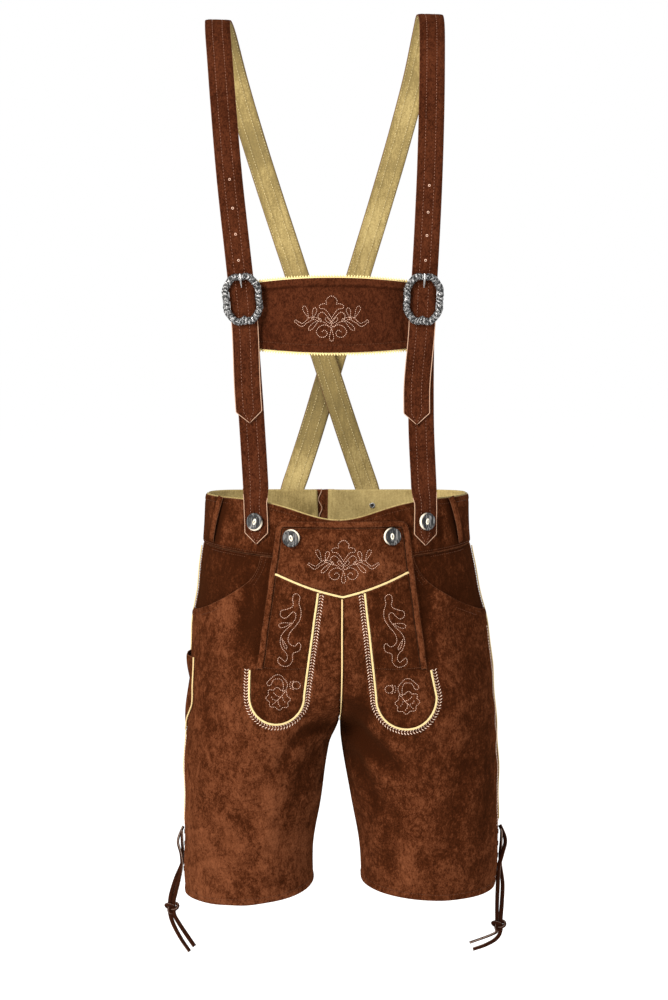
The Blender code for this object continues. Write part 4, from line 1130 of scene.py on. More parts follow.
def band_grid(side, half, lined):
    """The waistband from the middle to the side seam, or the lining inside it."""
    share = np.linspace(0, 1, 25)[:, None]
    level = WAIST_TOP + (WAIST_SEAM - WAIST_TOP) * share
    inner = notch_x(side, level) if half == BACK else section(level)[..., CENTRE] + side * MET
    start = angle_of(inner, level)
    angle = start + (side * np.pi / 2 - start) * np.linspace(0, 1, 73)[None]
    flat = on_trunk(half, angle, np.broadcast_to(level, angle.shape))
    top = waist_top(half, flat[..., 0]) + (1.3 * MM if lined else 0)
    foot = waist_seam(half, flat[..., 0]) + (2 * SEAM if lined else SEAM / 2)
    height = top + (foot - top) * share
    wave = 0.8 * MM * np.sin(9 * angle + 2 * side + half) * (1 - share) ** 1.5
    roll = -0.9 * MM * groove(share, 0.05) - 0.5 * MM * groove(share - 0.13, 0.03)
    if lined:
        grid = on_trunk(half, angle, height, wave - (SUEDE + LAY))
    else:
        grid = on_trunk(half, angle, height, wave + roll)
    grid[..., 1] = half * np.maximum(np.abs(grid[..., 1]), MET)
    return grid


def band_tone(half, grid):
    """The waistband is darker with painted shade beside its belt loops, along its seam and between the
    buttons.
    """
    x, z = grid[..., 0], grid[..., 2]
    tone = -0.26 - 0.3 * groove(z - waist_seam(half, x) - 3 * MM, 5 * MM)
    for _, (place, x_top, x_foot) in LOOPS.items():
        if place == half:
            middle = x_top + (x_foot - x_top) * (z - LOOP_TOP) / (LOOP_FOOT - LOOP_TOP)
            tone = tone - 1.3 * groove(np.abs(x - middle) - LOOP_WIDTH * 0.45, 4 * MM)
    if half == FRONT:
        tone = tone - 0.3 * groove(x + 172 * MM, 9 * MM) - 0.25 * groove(x - 128 * MM, 8 * MM)
        tone = tone + 0.22 * ease((x - 0.10) / 0.03)
        tone = tone + 0.18 * groove(x - 0.03, 0.05) * ease((-0.635 - z) / 0.01)
    return tone


def lining_tone(half, grid):
    """The lining's light and dark places: painted shade in the folds beside the split at the back, and a
    darker top.
    """
    x, z = grid[..., 0], grid[..., 2]
    tone = tone_of(half, grid) * 0.3 + 0.34 - 0.2 * groove(z - WAIST_TOP, 5 * MM)
    if half == BACK:
        low = ease((-0.632 - z) / 0.03)
        for x_top, slant, width, deep in ((-42, 0.55, 4.5, 1.3), (-58, 0.9, 5.5, 0.9), (-84, 1.3, 9.0, 0.5)):
            middle = x_top * MM + slant * (z + 0.66)
            tone = tone - deep * low * groove(x - middle, width * MM)
        tone = tone + 0.16 * ease((x - 0.0) / 0.02)
    return tone


def make_waistbands():
    for half_name, half in HALVES.items():
        for side_name, side in SIDES.items():
            for kind, lined in (("waistband", False), ("waistband_lining", True)):
                grid = band_grid(side, half, lined)
                name = f"{kind}_{half_name}_{side_name}"
                wall, slot = (LINING, "lining") if lined else (SUEDE, "suede")
                shade = lining_tone(half, grid) if lined else tone_of(half, grid) + band_tone(half, grid)
                sew(name, grid, wall, slot, (0, half, 0), shade)


def make_gusset():
    middle = (notch_x(RIGHT, WAIST_TOP) + notch_x(LEFT, WAIST_TOP)) / 2
    z, x = np.meshgrid(
        spread(WAIST_TOP - 4 * MM, WAIST_SEAM - 12 * MM, 30),
        spread(middle - GUSSET_WIDTH / 2, middle + GUSSET_WIDTH / 2, 16),
        indexing="ij",
    )
    pleat = -GUSSET_PLEAT * groove(x - middle, 2.5 * MM) * ease((z + 0.672) / 0.03)
    grid = on_body(BACK, x, z, LAY + SUEDE + pleat)
    # painted light on the gusset, which faces into the unlit inside, and painted shade in its pleat
    sew(
        "back_gusset", grid, SUEDE, "suede", (0, 1, 0), pleat / (4 * MM) + 0.75,
    )
    z = spread(WAIST_TOP - 3 * MM, WAIST_SEAM - 4 * MM, 60)
    x = notch_x(RIGHT, z) + 3.5 * MM + 2.2 * MM * np.sin(z * 260)
    edge = on_body(BACK, x, z, -1.4 * MM)
    fit(tube("gusset_edge", edge, 0.55 * MM, finishes["cut"], 6), "suede")


def make_belt_loops():
    for name, (half, x_top, x_foot) in LOOPS.items():
        share = np.linspace(0, 1, 40)
        z = LOOP_TOP + (LOOP_FOOT - LOOP_TOP) * share
        angle = angle_of(x_top + (x_foot - x_top) * share, z)
        flat = on_trunk(half, angle, z)
        out = unit(on_trunk(half, angle, z, 0.1) - flat)
        lift = LAY + FOLDED + LOOP_PROUD * np.sin(np.pi * share) ** 0.5
        line = flat + out * lift[:, None]
        grid = ribbon(line, out, LOOP_WIDTH, 8, crown=0.7 * MM)
        across = np.abs(np.linspace(-1, 1, grid.shape[1]))[None]
        shade = 0.34 - 0.5 * np.abs(share - 0.5)[:, None] ** 4 * 16 - 0.6 * across**4
        sew(
            name, grid, FOLDED, "suede", out[20], shade,
        )


def ribbon(line, out, width, columns, crown=0.0, taper=None):
    """Rows of points across a strip that follows a line, a little rounded. taper scales its width."""
    side = frames_along(line, out)[1]
    u = np.linspace(-1, 1, columns + 1)
    wide = np.full(len(line), width / 2) if taper is None else width / 2 * taper
    shift = side[:, None] * (u[None, :, None] * wide[:, None, None])
    return line[:, None] + shift - out[:, None] * (crown * u[None, :, None] ** 2)


def make_rivets():
    """Two rivets inside the back of the waistband."""
    for name, x, z in (("rivet_right", -68.6 * MM, -648.6 * MM), ("rivet_left", 47.7 * MM, -641.8 * MM)):
        out = -facing(BACK, x, z)
        centre = on_body(BACK, x, z, -(SUEDE + LAY + LINING)) + out * 0.3 * MM
        # each rivet's dark eye is painted shadow
        for part, form, key, around in (
            ("", ((0, 0.5), (1.3, 0.4), (1.9, 0.9), (2.9, 1.3), (3.8, 0.8), (4.1, 0)), "silver", 20),
            ("_eye", ((0, 0.75), (1.2, 0.7), (1.5, 0.3)), "gap", 14),
        ):
            fit(turned(name + part, MM * np.array(form), centre, out, finishes[key], around), "silver")


def turned(name, profile, centre, out, material, around, attribute=None, oval=(1.0, 1.0), tilt=0.0):
    """A turned piece: a profile of radius and height, from the middle outwards, closed below."""
    profile = np.asarray(profile, float)
    up = unit(np.asarray(out, float))
    across = unit(np.cross((0.0, 0.0, 1.0), up)) if abs(up[2]) < 0.9 else np.array((1.0, 0, 0))
    upright = np.cross(up, across)
    across, upright = (
        across * np.cos(tilt) + upright * np.sin(tilt),
        upright * np.cos(tilt) - across * np.sin(tilt),
    )
    turn = np.linspace(0, 2 * np.pi, around, endpoint=False)
    rim = np.cos(turn)[:, None] * across * oval[0] + np.sin(turn)[:, None] * upright * oval[1]
    rings = centre + profile[1:, 0, None, None] * rim[None] + profile[1:, 1, None, None] * up
    faces = rod_faces(len(profile) - 1, around)
    skin = np.concatenate(
        (rings.reshape(-1, 3), [centre + up * profile[0, 1]], [centre + up * profile[-1, 1]])
    )
    high = np.concatenate((np.repeat(profile[1:, 0] / profile[:, 0].max(), around), [0, 0]))
    high = high if attribute is None else attribute
    return mesh_object(name, skin, faces, material, attributes={"high": high})


# --- flap, shields and pipings ---


def yoke_z(x):
    """The yoke's lower edge: two slightly sagging lines that meet in a point."""
    point_x, point_z = YOKE_POINT
    drop = np.zeros_like(np.asarray(x, float))
    for side, chosen in ((RIGHT, x < point_x), (LEFT, x >= point_x)):
        end_z = YOKE_END[side]
        share = np.clip((x - point_x) / (flap_edge(side, end_z) - point_x), 0, 1)
        drop = np.where(chosen, point_z + (end_z - point_z) * share - YOKE_SAG * np.sin(np.pi * share), drop)
    return drop


def make_yoke():
    top = FLAP_TOP - BINDING - SEAM
    share = np.linspace(0, 1, 41)[:, None]
    reach = np.linspace(-1, 1, 97)[None]
    z = np.full((41, 97), top)
    for _ in range(4):
        edges = np.where(reach < 0, flap_edge(RIGHT, z), flap_edge(LEFT, z))
        x = YOKE_POINT[0] + (edges - YOKE_POINT[0]) * np.abs(reach)
        z = top + (yoke_z(x) - top) * share
    puff = 1.1 * MM * np.sin(np.pi * share) * (1 - reach**6)
    grid = on_body(FRONT, x, z, LAY + SUEDE + puff)
    shade = -0.10 + 0.2 * groove(share - 0.75, 0.25) * groove(reach - 0.55, 0.3) - 0.25 * groove(share, 0.06)
    shade = shade - 0.25 * groove(np.abs(reach) - 1, 0.04)
    sew(
        "flap_yoke", grid, SUEDE, "suede", (0, -1, 0), shade,
    )


def rounded(corners, radius, step):
    """A line through corners in a plane, with arcs at the bends, its points about a step apart."""
    corners = np.array(corners, float)
    pieces = [corners[:1]]
    for before, corner, after in zip(corners, corners[1:], corners[2:]):
        back, ahead = unit(before - corner), unit(after - corner)
        cut = radius / np.tan(np.arccos(np.clip(back @ ahead, -1, 1)) / 2)
        start, end = corner + back * cut, corner + ahead * cut
        share = np.linspace(0, 1, 9)[:, None]
        pieces.append((1 - share) ** 2 * start + 2 * share * (1 - share) * corner + share**2 * end)
    pieces.append(corners[-1:])
    return evenly(np.concatenate(pieces), step)


def evenly(points, step):
    """The same line with its points evenly spaced, about a step apart."""
    points = np.asarray(points, float)
    run = run_along(points)
    places = np.linspace(0, run[-1], max(int(round(run[-1] / step)), 2) + 1)
    return sampled(places, run, points)


def binding_corners(away):
    """The flap's outline up one slit, along the top and down the other, moved outwards."""
    foot = FLAP_FOOT + SEAM
    top = FLAP_TOP - BINDING + away
    right, left = flap_edge(RIGHT, foot) - SEAM - away, flap_edge(LEFT, foot) + SEAM + away
    return [
        (right, foot), (flap_edge(RIGHT, top) - away - SEAM, top),
        (flap_edge(LEFT, top) + away + SEAM, top), (left, foot),
    ]


def make_binding():
    middle = rounded(binding_corners(BINDING / 2), 9 * MM, 2.4 * MM)
    along = unit(np.gradient(middle, axis=0))
    across = np.stack((-along[:, 1], along[:, 0]), -1)
    u = np.linspace(-1, 1, 11)
    flat = middle[:, None] + across[:, None] * u[None, :, None] * (BINDING / 2)
    run = np.arange(len(middle)) * 2.4 * MM
    pucker = 0.25 * MM * np.sin(run / (5.5 * MM))[:, None] * (1 - u[None] ** 2)
    crown = LAY + 2.9 * MM - 1.5 * MM * u[None] ** 4 + pucker
    grid = on_body(FRONT, flat[..., 0], flat[..., 1], crown)
    shade = 0.2 - 0.35 * u[None] ** 6 + 0.08 * np.sin(run / (13 * MM))[:, None]
    sew("flap_binding", grid, FOLDED, "suede", (0, -1, 0), shade)


def pipe(name, points, radii, around, out=None, flat=1.0):
    fit(tube(name, points, radii, finishes["piping"], around, out, flat), "piping", name)


def make_pipings():
    """The cream rolls round the yoke's edge, the shields and down the middle."""
    ends = [flap_edge(side, YOKE_END[side]) for side in (RIGHT, LEFT)]
    xs = spread(ends[0] - 1.5 * MM, ends[1] + 1.5 * MM, 90)
    zs = yoke_z(xs) - PIPING_BED / 2
    lines = {"yoke_piping": (xs, zs)}
    for side_name, side in SIDES.items():
        line = evenly(shield_line(side, PIPING / 2 + SEAM + 0.3 * MM), 1.8 * MM)
        lines[f"shield_piping_{side_name}"] = (line[:, 0], line[:, 1])
    for name, (x, z) in lines.items():
        wide = PIPING * 0.57 * (1 + 0.05 * np.sin(np.arange(len(x)) * 1.3))
        out = facing(FRONT, x, z)
        pipe(name, on_body(FRONT, x, z, LAY + PIPING / 2) + out * 0.5 * MM, wide, 12, out, 0.78)
    z = spread(yoke_z(YOKE_POINT[0]) - PIPING_BED - SEAM, CROTCH + 7 * MM, 70)
    centre = section(z)[:, CENTRE]
    clear = PIPING / 2 + LAY
    sides = [body(side, FRONT, t_at(side, centre + side * clear, z), z) for side in (RIGHT, LEFT)]
    points = vec(centre, np.minimum(sides[0][:, 1], sides[1][:, 1]) - clear, z)
    forward = same_way(points, 0, -1, 0)
    narrowing = PIPING * 0.42 * (1 - 0.35 * ease((-0.80 - z) / 0.1))
    pipe("centre_piping", points, narrowing, 10, forward, 0.85)


def shield_edges(side, z):
    """X of the shield's inner and outer edges at each height."""
    neck, ankle_in, ankle_out, heel_out, ankle, sole = SHIELD[side]
    top = yoke_z(neck)
    inner = neck + (ankle_in - neck) * (z - top) / (ankle - top)
    outer = heel_out + (ankle_out - heel_out) * (z - FLAP_FOOT) / (ankle - FLAP_FOOT)
    outer = np.where(z > FLAP_FOOT, flap_edge(side, z), outer)
    middle = (ankle_in + ankle_out) / 2
    drop = (z - ankle) / (sole - ankle)
    reach = np.abs(ankle_out - ankle_in) / 2 * np.sqrt(np.maximum(1 - drop * drop, 0))
    foot = z < ankle
    return np.where(foot, middle - side * reach, inner), np.where(foot, middle + side * reach, outer)


def shield_line(side, away):
    """The shield's outline from the yoke down, round its foot and up to the slit, moved away."""
    neck, ankle_in, ankle_out, _, ankle, sole = SHIELD[side]
    top = yoke_z(neck) - PIPING_BED - PIPING / 2
    down = spread(top, ankle, 30)[:-1]
    line = [(x - side * away, z) for x, z in zip(shield_edges(side, down)[0], down)]
    middle = (ankle_in + ankle_out) / 2
    wide = abs(ankle_out - ankle_in) / 2 + away
    deep = ankle - sole + away
    line += [(middle - side * wide * np.cos(a), ankle - deep * np.sin(a)) for a in spread(0, np.pi, 40)]
    line.append((shield_edges(side, FLAP_FOOT - 1 * MM)[1] + side * away, FLAP_FOOT - 1.5 * MM))
    return line


def make_shields():
    for side_name, side in SIDES.items():
        neck, _, _, _, ankle, sole = SHIELD[side]
        upper = spread(0, 1, 62)
        lower = spread(FLAP_FOOT - 1.4 * MM, ankle, 14)
        foot = ankle + (sole - ankle) * np.sin(spread(0, np.pi / 2 * 0.93, 22))[1:]
        rows = []
        share = np.linspace(0, 1, 37)
        for place in upper:
            z = np.full(37, yoke_z(neck) - PIPING_BED)
            for _ in range(4):
                inner, outer = shield_edges(side, z)
                x = inner + (outer - inner) * share
                top = yoke_z(x) - PIPING_BED
                z = top + (FLAP_FOOT + SEAM - top) * place
            rows.append((x, z))
        for z in np.concatenate((lower, foot)):
            inner, outer = shield_edges(side, z)
            rows.append((inner + (outer - inner) * share, np.full(37, z)))
        x, z = np.array([row[0] for row in rows]), np.array([row[1] for row in rows])
        puff = 0.8 * MM * np.sin(np.pi * share)[None] ** 0.7 * np.ones_like(z)
        step = -0.9 * MM * groove(z - FLAP_FOOT, 2.2 * MM)
        grid = on_body(FRONT, x, z, SHIELD_LIFT + SUEDE + puff + step)
        shade = -0.42 - 0.25 * groove(share[None] - 1, 0.05) + 0.12 * (z < FLAP_FOOT) + 0.3 * step / MM
        sew(
            f"shield_{side_name}", grid, SUEDE, "suede", (0, -1, 0), shade,
        )


# --- side seams ---


def around_side(side, turn, z, lift):
    """Points round the side seam: turn is 0 on it, below 0 in front of it and above behind."""
    turn, z, lift = np.broadcast_arrays(
        np.asarray(turn, float), np.asarray(z, float), np.asarray(lift, float)
    )
    front = surface(side, FRONT, 1 - np.abs(turn), z, lift)
    back = surface(side, BACK, 1 - np.abs(turn), z, lift)
    seam = surface(side, FRONT, np.ones_like(turn), z)
    seam = vec(seam[..., 0] + side * lift, 0.0, z)
    chosen = np.where((turn < 0)[..., None], front, back)
    return np.where((np.abs(turn) < 1e-6)[..., None], seam, chosen)


def make_side_pipings():
    stretches = {
        "side_piping_right_upper": (RIGHT, WAIST_SEAM - 6 * MM, KNIFE_TOP + 4 * MM),
        "side_piping_right_lower": (RIGHT, KNIFE_FOOT - 4 * MM, VENT_TOP - 2 * MM),
        "side_piping_left": (LEFT, WAIST_SEAM - 6 * MM, VENT_TOP),
    }
    for name, (side, top, foot) in stretches.items():
        z = spread(top, foot, max(int((top - foot) / (3 * MM)), 4))
        points = around_side(side, 0.0, z, LAY + PIPING / 2)
        out = same_way(points, side, 0, 0)
        pipe(name, points, PIPING * 0.4, 10, out, 0.9)


def knife_reach(z):
    share = (KNIFE_TOP - z) / (KNIFE_TOP - KNIFE_FOOT)
    return 1 - 0.72 * np.maximum(share - 0.62, 0) / 0.38


def make_knife_pocket():
    z = spread(KNIFE_TOP, KNIFE_FOOT, 48)[:, None]
    share = (KNIFE_TOP - z) / (KNIFE_TOP - KNIFE_FOOT)
    turn = np.concatenate((spread(-KNIFE_FORE, 0, 12)[:-1], spread(0, KNIFE_AFT, 18)))[None] * knife_reach(z)
    across = np.where(turn > 0, 1 - (turn / KNIFE_AFT) ** 2, 1 - (turn / KNIFE_FORE) ** 2)
    swell = np.abs(np.cos(1.6 * np.pi * share)) * (1 - 0.25 * share)
    lift = LAY + SUEDE + KNIFE_SWELL * swell * np.maximum(across, 0)
    grid = around_side(RIGHT, turn, z, lift)
    shade = 0.25 * swell * across - 0.2
    sew(
        "knife_pocket", grid, SUEDE, "suede", (-1, 0, 0), shade,
    )
    z = z[:, 0]
    points = around_side(RIGHT, -KNIFE_FORE * knife_reach(z) - 0.012, z, LAY + PIPING / 2)
    pipe("knife_pocket_piping", points, PIPING * 0.42, 10)


# --- braces ---


def smooth_line(points, step):
    """Points a step apart along a smooth curve through the route's own points."""
    points = np.asarray(points, float)
    fine = []
    for i in range(len(points) - 1):
        before, after = points[max(i - 1, 0)], points[min(i + 2, len(points) - 1)]
        start, end = points[i], points[i + 1]
        share = np.linspace(0, 1, 12, endpoint=False)[:, None]
        fine.append(hermite(start, end, (end - before) / 2, (after - start) / 2, share))
    return evenly(np.concatenate(fine + [points[-1:]]), step)


def brace_line(side, step=3 * MM):
    """The brace's middle line and outward directions, from the front point up, over and down behind."""
    points = smooth_line(MM * np.array(ROUTE[side], float), step)
    run = np.gradient(points, axis=0)
    outs = unit(vec(np.zeros(len(points)), -run[:, 2], run[:, 1]))
    for half, clear in ((FRONT, 0.9 * MM), (BACK, 0.8 * MM)):
        chosen = (points[:, 2] < GARMENT_TOP) & ((points[:, 1] < SHOULDER_Y) == (half == FRONT))
        place = points[chosen]
        angle = angle_of(place[:, 0], place[:, 2])
        flat = on_trunk(half, angle, place[:, 2])
        out = unit(on_trunk(half, angle, place[:, 2], 0.2) - flat)
        blend = np.minimum((GARMENT_TOP - place[:, 2]) / (20 * MM), 1)[:, None]
        points[chosen] = place + (flat + out * (LAY + clear) - place) * blend
        outs[chosen] = unit(outs[chosen] + (out - outs[chosen]) * blend)
    return points, outs


def tail_lift(points):
    """The upper brace's tail passes in front of the tab."""
    front = points[:, 1] < SHOULDER_Y
    return TAIL_LIFT * ease((TAIL_SETTLES - points[:, 2]) / (TAIL_SETTLES - TAB_HEAD)) * front


def point_taper(points, ends):
    """How wide the strip is, as a share, with a blunt point on each of the chosen ends."""
    run = run_along(points)
    taper = np.ones(len(points))
    for end in ends:
        away = run if end == 0 else run[-1] - run
        taper = np.minimum(taper, np.clip(away / POINT_LENGTH, 0.05, 1))
    return taper


STRAP_COLUMNS = 18
# Where the four rows of stitches run across a strap, as shares of its half width
STRAP_ROWS = (-0.86, -0.42, 0.36, 0.84)


def row_grooves(u, width):
    return sum(groove(u - row, width) for row in STRAP_ROWS)


def strap_parts():
    """Each strap's name, side, middle line, outward directions and taper."""
    parts = []
    for side_name, side in SIDES.items():
        points, outs = brace_line(side)
        front = points[:, 1] < SHOULDER_Y
        over = ~front | (points[:, 2] > TAIL_TIP)
        upper = points[over] + outs[over] * tail_lift(points[over])[:, None]
        hanging = ease((BUCKLE_Z - 30 * MM - upper[:, 2]) / (90 * MM)) * (upper[:, 1] < SHOULDER_Y)
        upper[:, 0] -= TAIL_SWAY[side] * hanging
        parts.append((f"brace_{side_name}", f"brace_lining_{side_name}", upper, outs[over], (0, 1)))
        tab = front & (points[:, 2] < TAB_HEAD)
        parts.append(
            (f"brace_tab_{side_name}", f"brace_tab_lining_{side_name}", points[tab], outs[tab], (0,))
        )
    return parts


def dense_ends(points, outs):
    """The same line with extra points in its last stretches, where the strip comes to a point."""
    run = run_along(points)
    near = spread(0, POINT_LENGTH * 1.15, 14)
    inside = run[(run > near[-1] + MM) & (run < run[-1] - near[-1] - MM)]
    places = np.concatenate((near, inside, run[-1] - near[::-1]))
    return sampled(places, run, points), unit(sampled(places, run, outs))


def strap_grid(line, outs, ends, width, lift, sewn):
    taper = point_taper(line, ends)
    grid = ribbon(line + outs * lift, outs, width, STRAP_COLUMNS, 0.0, taper)
    u = np.linspace(-1, 1, STRAP_COLUMNS + 1)[None]
    run = np.arange(len(line))[:, None]
    height = -0.5 * MM * np.abs(u) ** 6 + 0.25 * MM * np.sin(run * 0.21) * np.sin(2.2 * u + run * 0.05)
    if sewn:
        height = height - 0.3 * MM * row_grooves(u, 0.07)
    return grid + outs[:, None] * height[..., None]


def make_braces():
    for name, lining_name, points, outs, ends in strap_parts():
        line, out = dense_ends(points, outs)
        sewn = strap_grid(line, out, ends, BRACE, STRAP_FACE, True)
        u = np.linspace(-1, 1, STRAP_COLUMNS + 1)[None]
        # painted shade along the strap's sides and in its stitch rows, over a slow change of tone along it
        tone_pattern = (
            0.1 * np.sin(line[:, 2] * 60)[:, None] + 0.12 - 0.18 * np.abs(u) ** 4 - 0.2 * row_grooves(u, 0.06)
        )
        outward = out[:, None]
        sew(
            name, sewn, SUEDE, "brace_suede", outward, tone_pattern,
        )
        under = strap_grid(line, out, ends, BRACE - 1 * MM, LINING, False)
        behind = line[:, 1] > SHOULDER_Y
        crossed, paler = (1.0, 0.10) if "left" in name else (0.2, -0.05)
        z = line[:, 2]
        shaded = 0.55 * behind * groove(z + 0.50, 0.055) * crossed - paler
        shaded = shaded - behind * (0.42 * ease((-0.545 - z) / 0.04) + 0.3 * groove(z + 0.30, 0.06))
        shade = 0.08 * np.sin(line[:, 2] * 45)[:, None] - 0.35 * np.abs(u) ** 6 - shaded[:, None]
        shade = shade - 0.28 * row_grooves(-u, 0.05)
        sew(lining_name, under, LINING, "lining", outward, shade)


def make_cut_edges():
    """The pale raw edges of the braces' tails and tabs."""
    for name, _, points, outs, _ in strap_parts():
        line, out = dense_ends(points, outs)
        highest, ends = (GARMENT_TOP - 10 * MM, (0,)) if "tab" in name else (BUCKLE_Z - 25 * MM, (0, 1))
        low = (line[:, 2] < highest) & (line[:, 1] < SHOULDER_Y)
        grid = strap_grid(line, out, ends, BRACE, STRAP_FACE, False)
        down, up = grid[low][::-1, 0], grid[low][:, -1]
        rim = evenly(np.concatenate((down, up)), 2 * MM)
        outward = same_way(rim, *out[low][low.sum() // 2])
        rim = rim - outward * 0.35 * MM
        roll = tube(name + "_cut_edge", rim, 0.5 * MM, finishes["cut"], 6, outward)
        fit(roll, "piping")


def brace_half(side, front):
    """The brace's points and outward directions in front or behind, from the lowest up."""
    points, outs = brace_line(side)
    chosen = (points[:, 1] < SHOULDER_Y) == front
    order = np.argsort(points[chosen, 2])
    return points[chosen][order], outs[chosen][order]


def brace_point(side, z, front=True):
    """The brace's middle, outward direction and upward run at a height in front or behind."""
    points, outs = brace_half(side, front)
    levels = points[:, 2]
    spot, above = sampled(z, levels, points), sampled(z + 4 * MM, levels, points)
    return spot, unit(sampled(z, levels, outs)), unit(above - spot)


def frame_at(out, run):
    """Directions across, up and outwards."""
    across = unit(np.cross(run, out))
    return across, np.cross(out, across), out


def placed(local, spot, axes):
    return (
        spot + local[..., 0, None] * axes[0] + local[..., 1, None] * axes[1] + local[..., 2, None] * axes[2]
    )


RING_TURNS = 320
RING_AROUND = 20
PRONG_SHINE = 0.95


def make_buckles():
    """Cast rings with a leafy relief, drawn to a point inside at the foot, and their prongs."""
    for side_name, side in SIDES.items():
        spot, out, run = brace_point(side, BUCKLE_Z)
        face = TAIL_LIFT + STRAP_FACE
        axes = frame_at(out, run)
        a = np.linspace(0, 2 * np.pi, RING_TURNS, endpoint=False)[:, None]
        b = np.linspace(0, 2 * np.pi, RING_AROUND, endpoint=False)[None]
        corner = (np.abs(np.cos(a)) ** 2.7 + np.abs(np.sin(a)) ** 2.7) ** (1 / 2.7)
        octagon = 1 - 0.022 * np.cos(8 * a)
        wide = (BUCKLE_SIZE[0] - BUCKLE_WIRE) / 2 * octagon
        tall = (BUCKLE_SIZE[1] - BUCKLE_WIRE) / 2 * octagon
        heavy = 1 + 0.5 * np.maximum(-np.sin(a), 0) ** 22 + 0.12 * np.maximum(-np.sin(a), 0) ** 4
        leaves = np.abs(np.sin(16 * a + 1.1 * np.cos(b))) ** 0.7
        veins = np.abs(np.sin(40 * a + 3.5 * np.cos(b)))
        scroll = 0.5 + 0.5 * np.sin(29 * a + 5 * np.sin(b) + 2.5 * np.sin(7 * a))
        top = np.maximum(np.sin(b), 0)
        carve = (0.55 * leaves + 0.6 * scroll - 0.5 * veins * top) - 0.35
        rise = 0.85 * MM * carve
        across = np.cos(b) * (BUCKLE_WIRE / 2 * np.where(np.cos(b) < 0, heavy, 1.0) + rise)
        proud = np.sin(b) * (BUCKLE_WIRE * 0.42 + rise * 0.8)
        spoke = unit(np.concatenate((np.cos(a), np.sin(a) * 0.9), 1))
        x = wide * np.cos(a) / corner + spoke[:, :1] * across
        y = tall * np.sin(a) / corner + spoke[:, 1:] * across
        lift = face + LAY + BUCKLE_WIRE * 0.42
        ring = placed(vec(x, y, proud + lift), spot, axes)
        index = np.arange(RING_TURNS * RING_AROUND).reshape(RING_TURNS, RING_AROUND)
        ahead, beside = np.roll(index, -1, axis=0), np.roll(index, -1, axis=1)
        faces = np.stack((index, ahead, np.roll(ahead, -1, axis=1), beside), -1).reshape(-1, 4).tolist()
        high = np.clip(0.28 + 0.62 * carve + 0.18 * top, 0, 1) * np.ones_like(x)
        name = f"buckle_{side_name}"
        piece = mesh_object(
            name, ring.reshape(-1, 3), faces, finishes["silver"], attributes={"high": high.ravel()}
        )
        fit(piece, "silver", name)
        bar = BUCKLE_SIZE[1] / 2 - BUCKLE_WIRE / 2
        crest = face + BUCKLE_WIRE * 0.84 + 1.5 * MM
        profile = MM * np.array(((-13, 1.0), (-9, 3.4), (-5, 6.6), (-2, 8.4), (1, 8.9), (3.5, 8.4)))
        route = np.stack((bar + profile[:, 0], np.minimum(face + profile[:, 1], crest)), -1)
        points = smooth_line(np.array([spot + run * along + out * up for along, up in route]), 0.8 * MM)
        widths = 1.3 * MM * (0.55 + 0.45 * ease(np.linspace(0, 2.5, len(points))))
        prong = tube(
            f"buckle_prong_{side_name}", points, widths, finishes["silver"], 10, same_way(points, *out), 0.8
        )
        bright = np.full(len(prong.data.vertices), PRONG_SHINE, np.float32)
        prong.data.attributes.new("high", "FLOAT", "POINT").data.foreach_set("value", bright)
        fit(prong, "silver", f"buckle_prong_{side_name}")


# --- chest piece ---


def figure_front(z):
    """How far forward the braces' inner faces stand at each height."""
    depth = []
    for side in (RIGHT, LEFT):
        points = brace_half(side, True)[0]
        depth.append(np.interp(z, points[:, 2], points[:, 1]))
    return (depth[0] + depth[1]) / 2


def chest_edges(u):
    arch = 1 - u * u
    top = CHEST_TOP[1] + (CHEST_TOP[0] - CHEST_TOP[1]) * arch
    foot = CHEST_FOOT[1] + (CHEST_FOOT[0] - CHEST_FOOT[1]) * arch
    return top, foot


def chest_point(x, z, lift):
    """Points of the chest piece's bowed form; lift moves them forwards."""
    u = (x - CHEST_MIDDLE) / CHEST_REACH
    free = np.maximum(1 - (np.abs(u) / CHEST_FREE) ** 2, 0)
    wave = 0.5 * MM * np.sin(38 * x + 1.2) * np.sin(50 * z) * free
    return vec(x, figure_front(z) - CHEST_BOW * free**0.8 - lift + wave, z)


def make_chest_piece():
    behind = -CHEST_SETS_BACK
    u = np.linspace(-1, 1, 129)[None]
    share = np.linspace(0, 1, 77)[:, None]
    for name, rise, lift, wall, key, slot in (
        ("chest_piece", 0.0, behind, SUEDE, "brace_suede", "brace_suede"),
        ("chest_backing", 1.4 * MM, behind - SUEDE - BRACE_GAP, LINING, "cream", "piping"),
    ):
        top, foot = chest_edges(u)
        top, foot = top + rise, foot - rise
        z = top + (foot - top) * share
        x = CHEST_MIDDLE + CHEST_REACH * u + 0 * z
        from_top, from_foot = top - z, z - foot
        turned_in = shade = np.zeros_like(z)
        if name == "chest_piece":
            seam_above, seam_below = from_top - 10.5 * MM, from_foot - 9.5 * MM
            turned_in = (
                0.9 * MM * ease((9.5 * MM - from_top) / (2 * MM)) - 0.9 * MM * groove(seam_above, 1.1 * MM)
            )
            turned_in = turned_in + 0.5 * MM * ease((8.5 * MM - from_foot) / (2 * MM))
            turned_in = turned_in - 0.6 * MM * groove(seam_below, 1.1 * MM)
            turned_in = turned_in - 0.7 * MM * groove(np.minimum(from_top, from_foot), 1.2 * MM)
            shade = 0.12 * ease((9 * MM - from_top) / (2 * MM)) - 0.6 * groove(seam_above, 1.2 * MM)
            shade = shade + 0.1 * ease((8 * MM - from_foot) / (3 * MM)) - 0.3 * np.abs(u) ** 12
        grid = chest_point(x, z, lift + turned_in)
        sew(name, grid, wall, key, (0, -1, 0), shade, slot)


# --- buttons ---


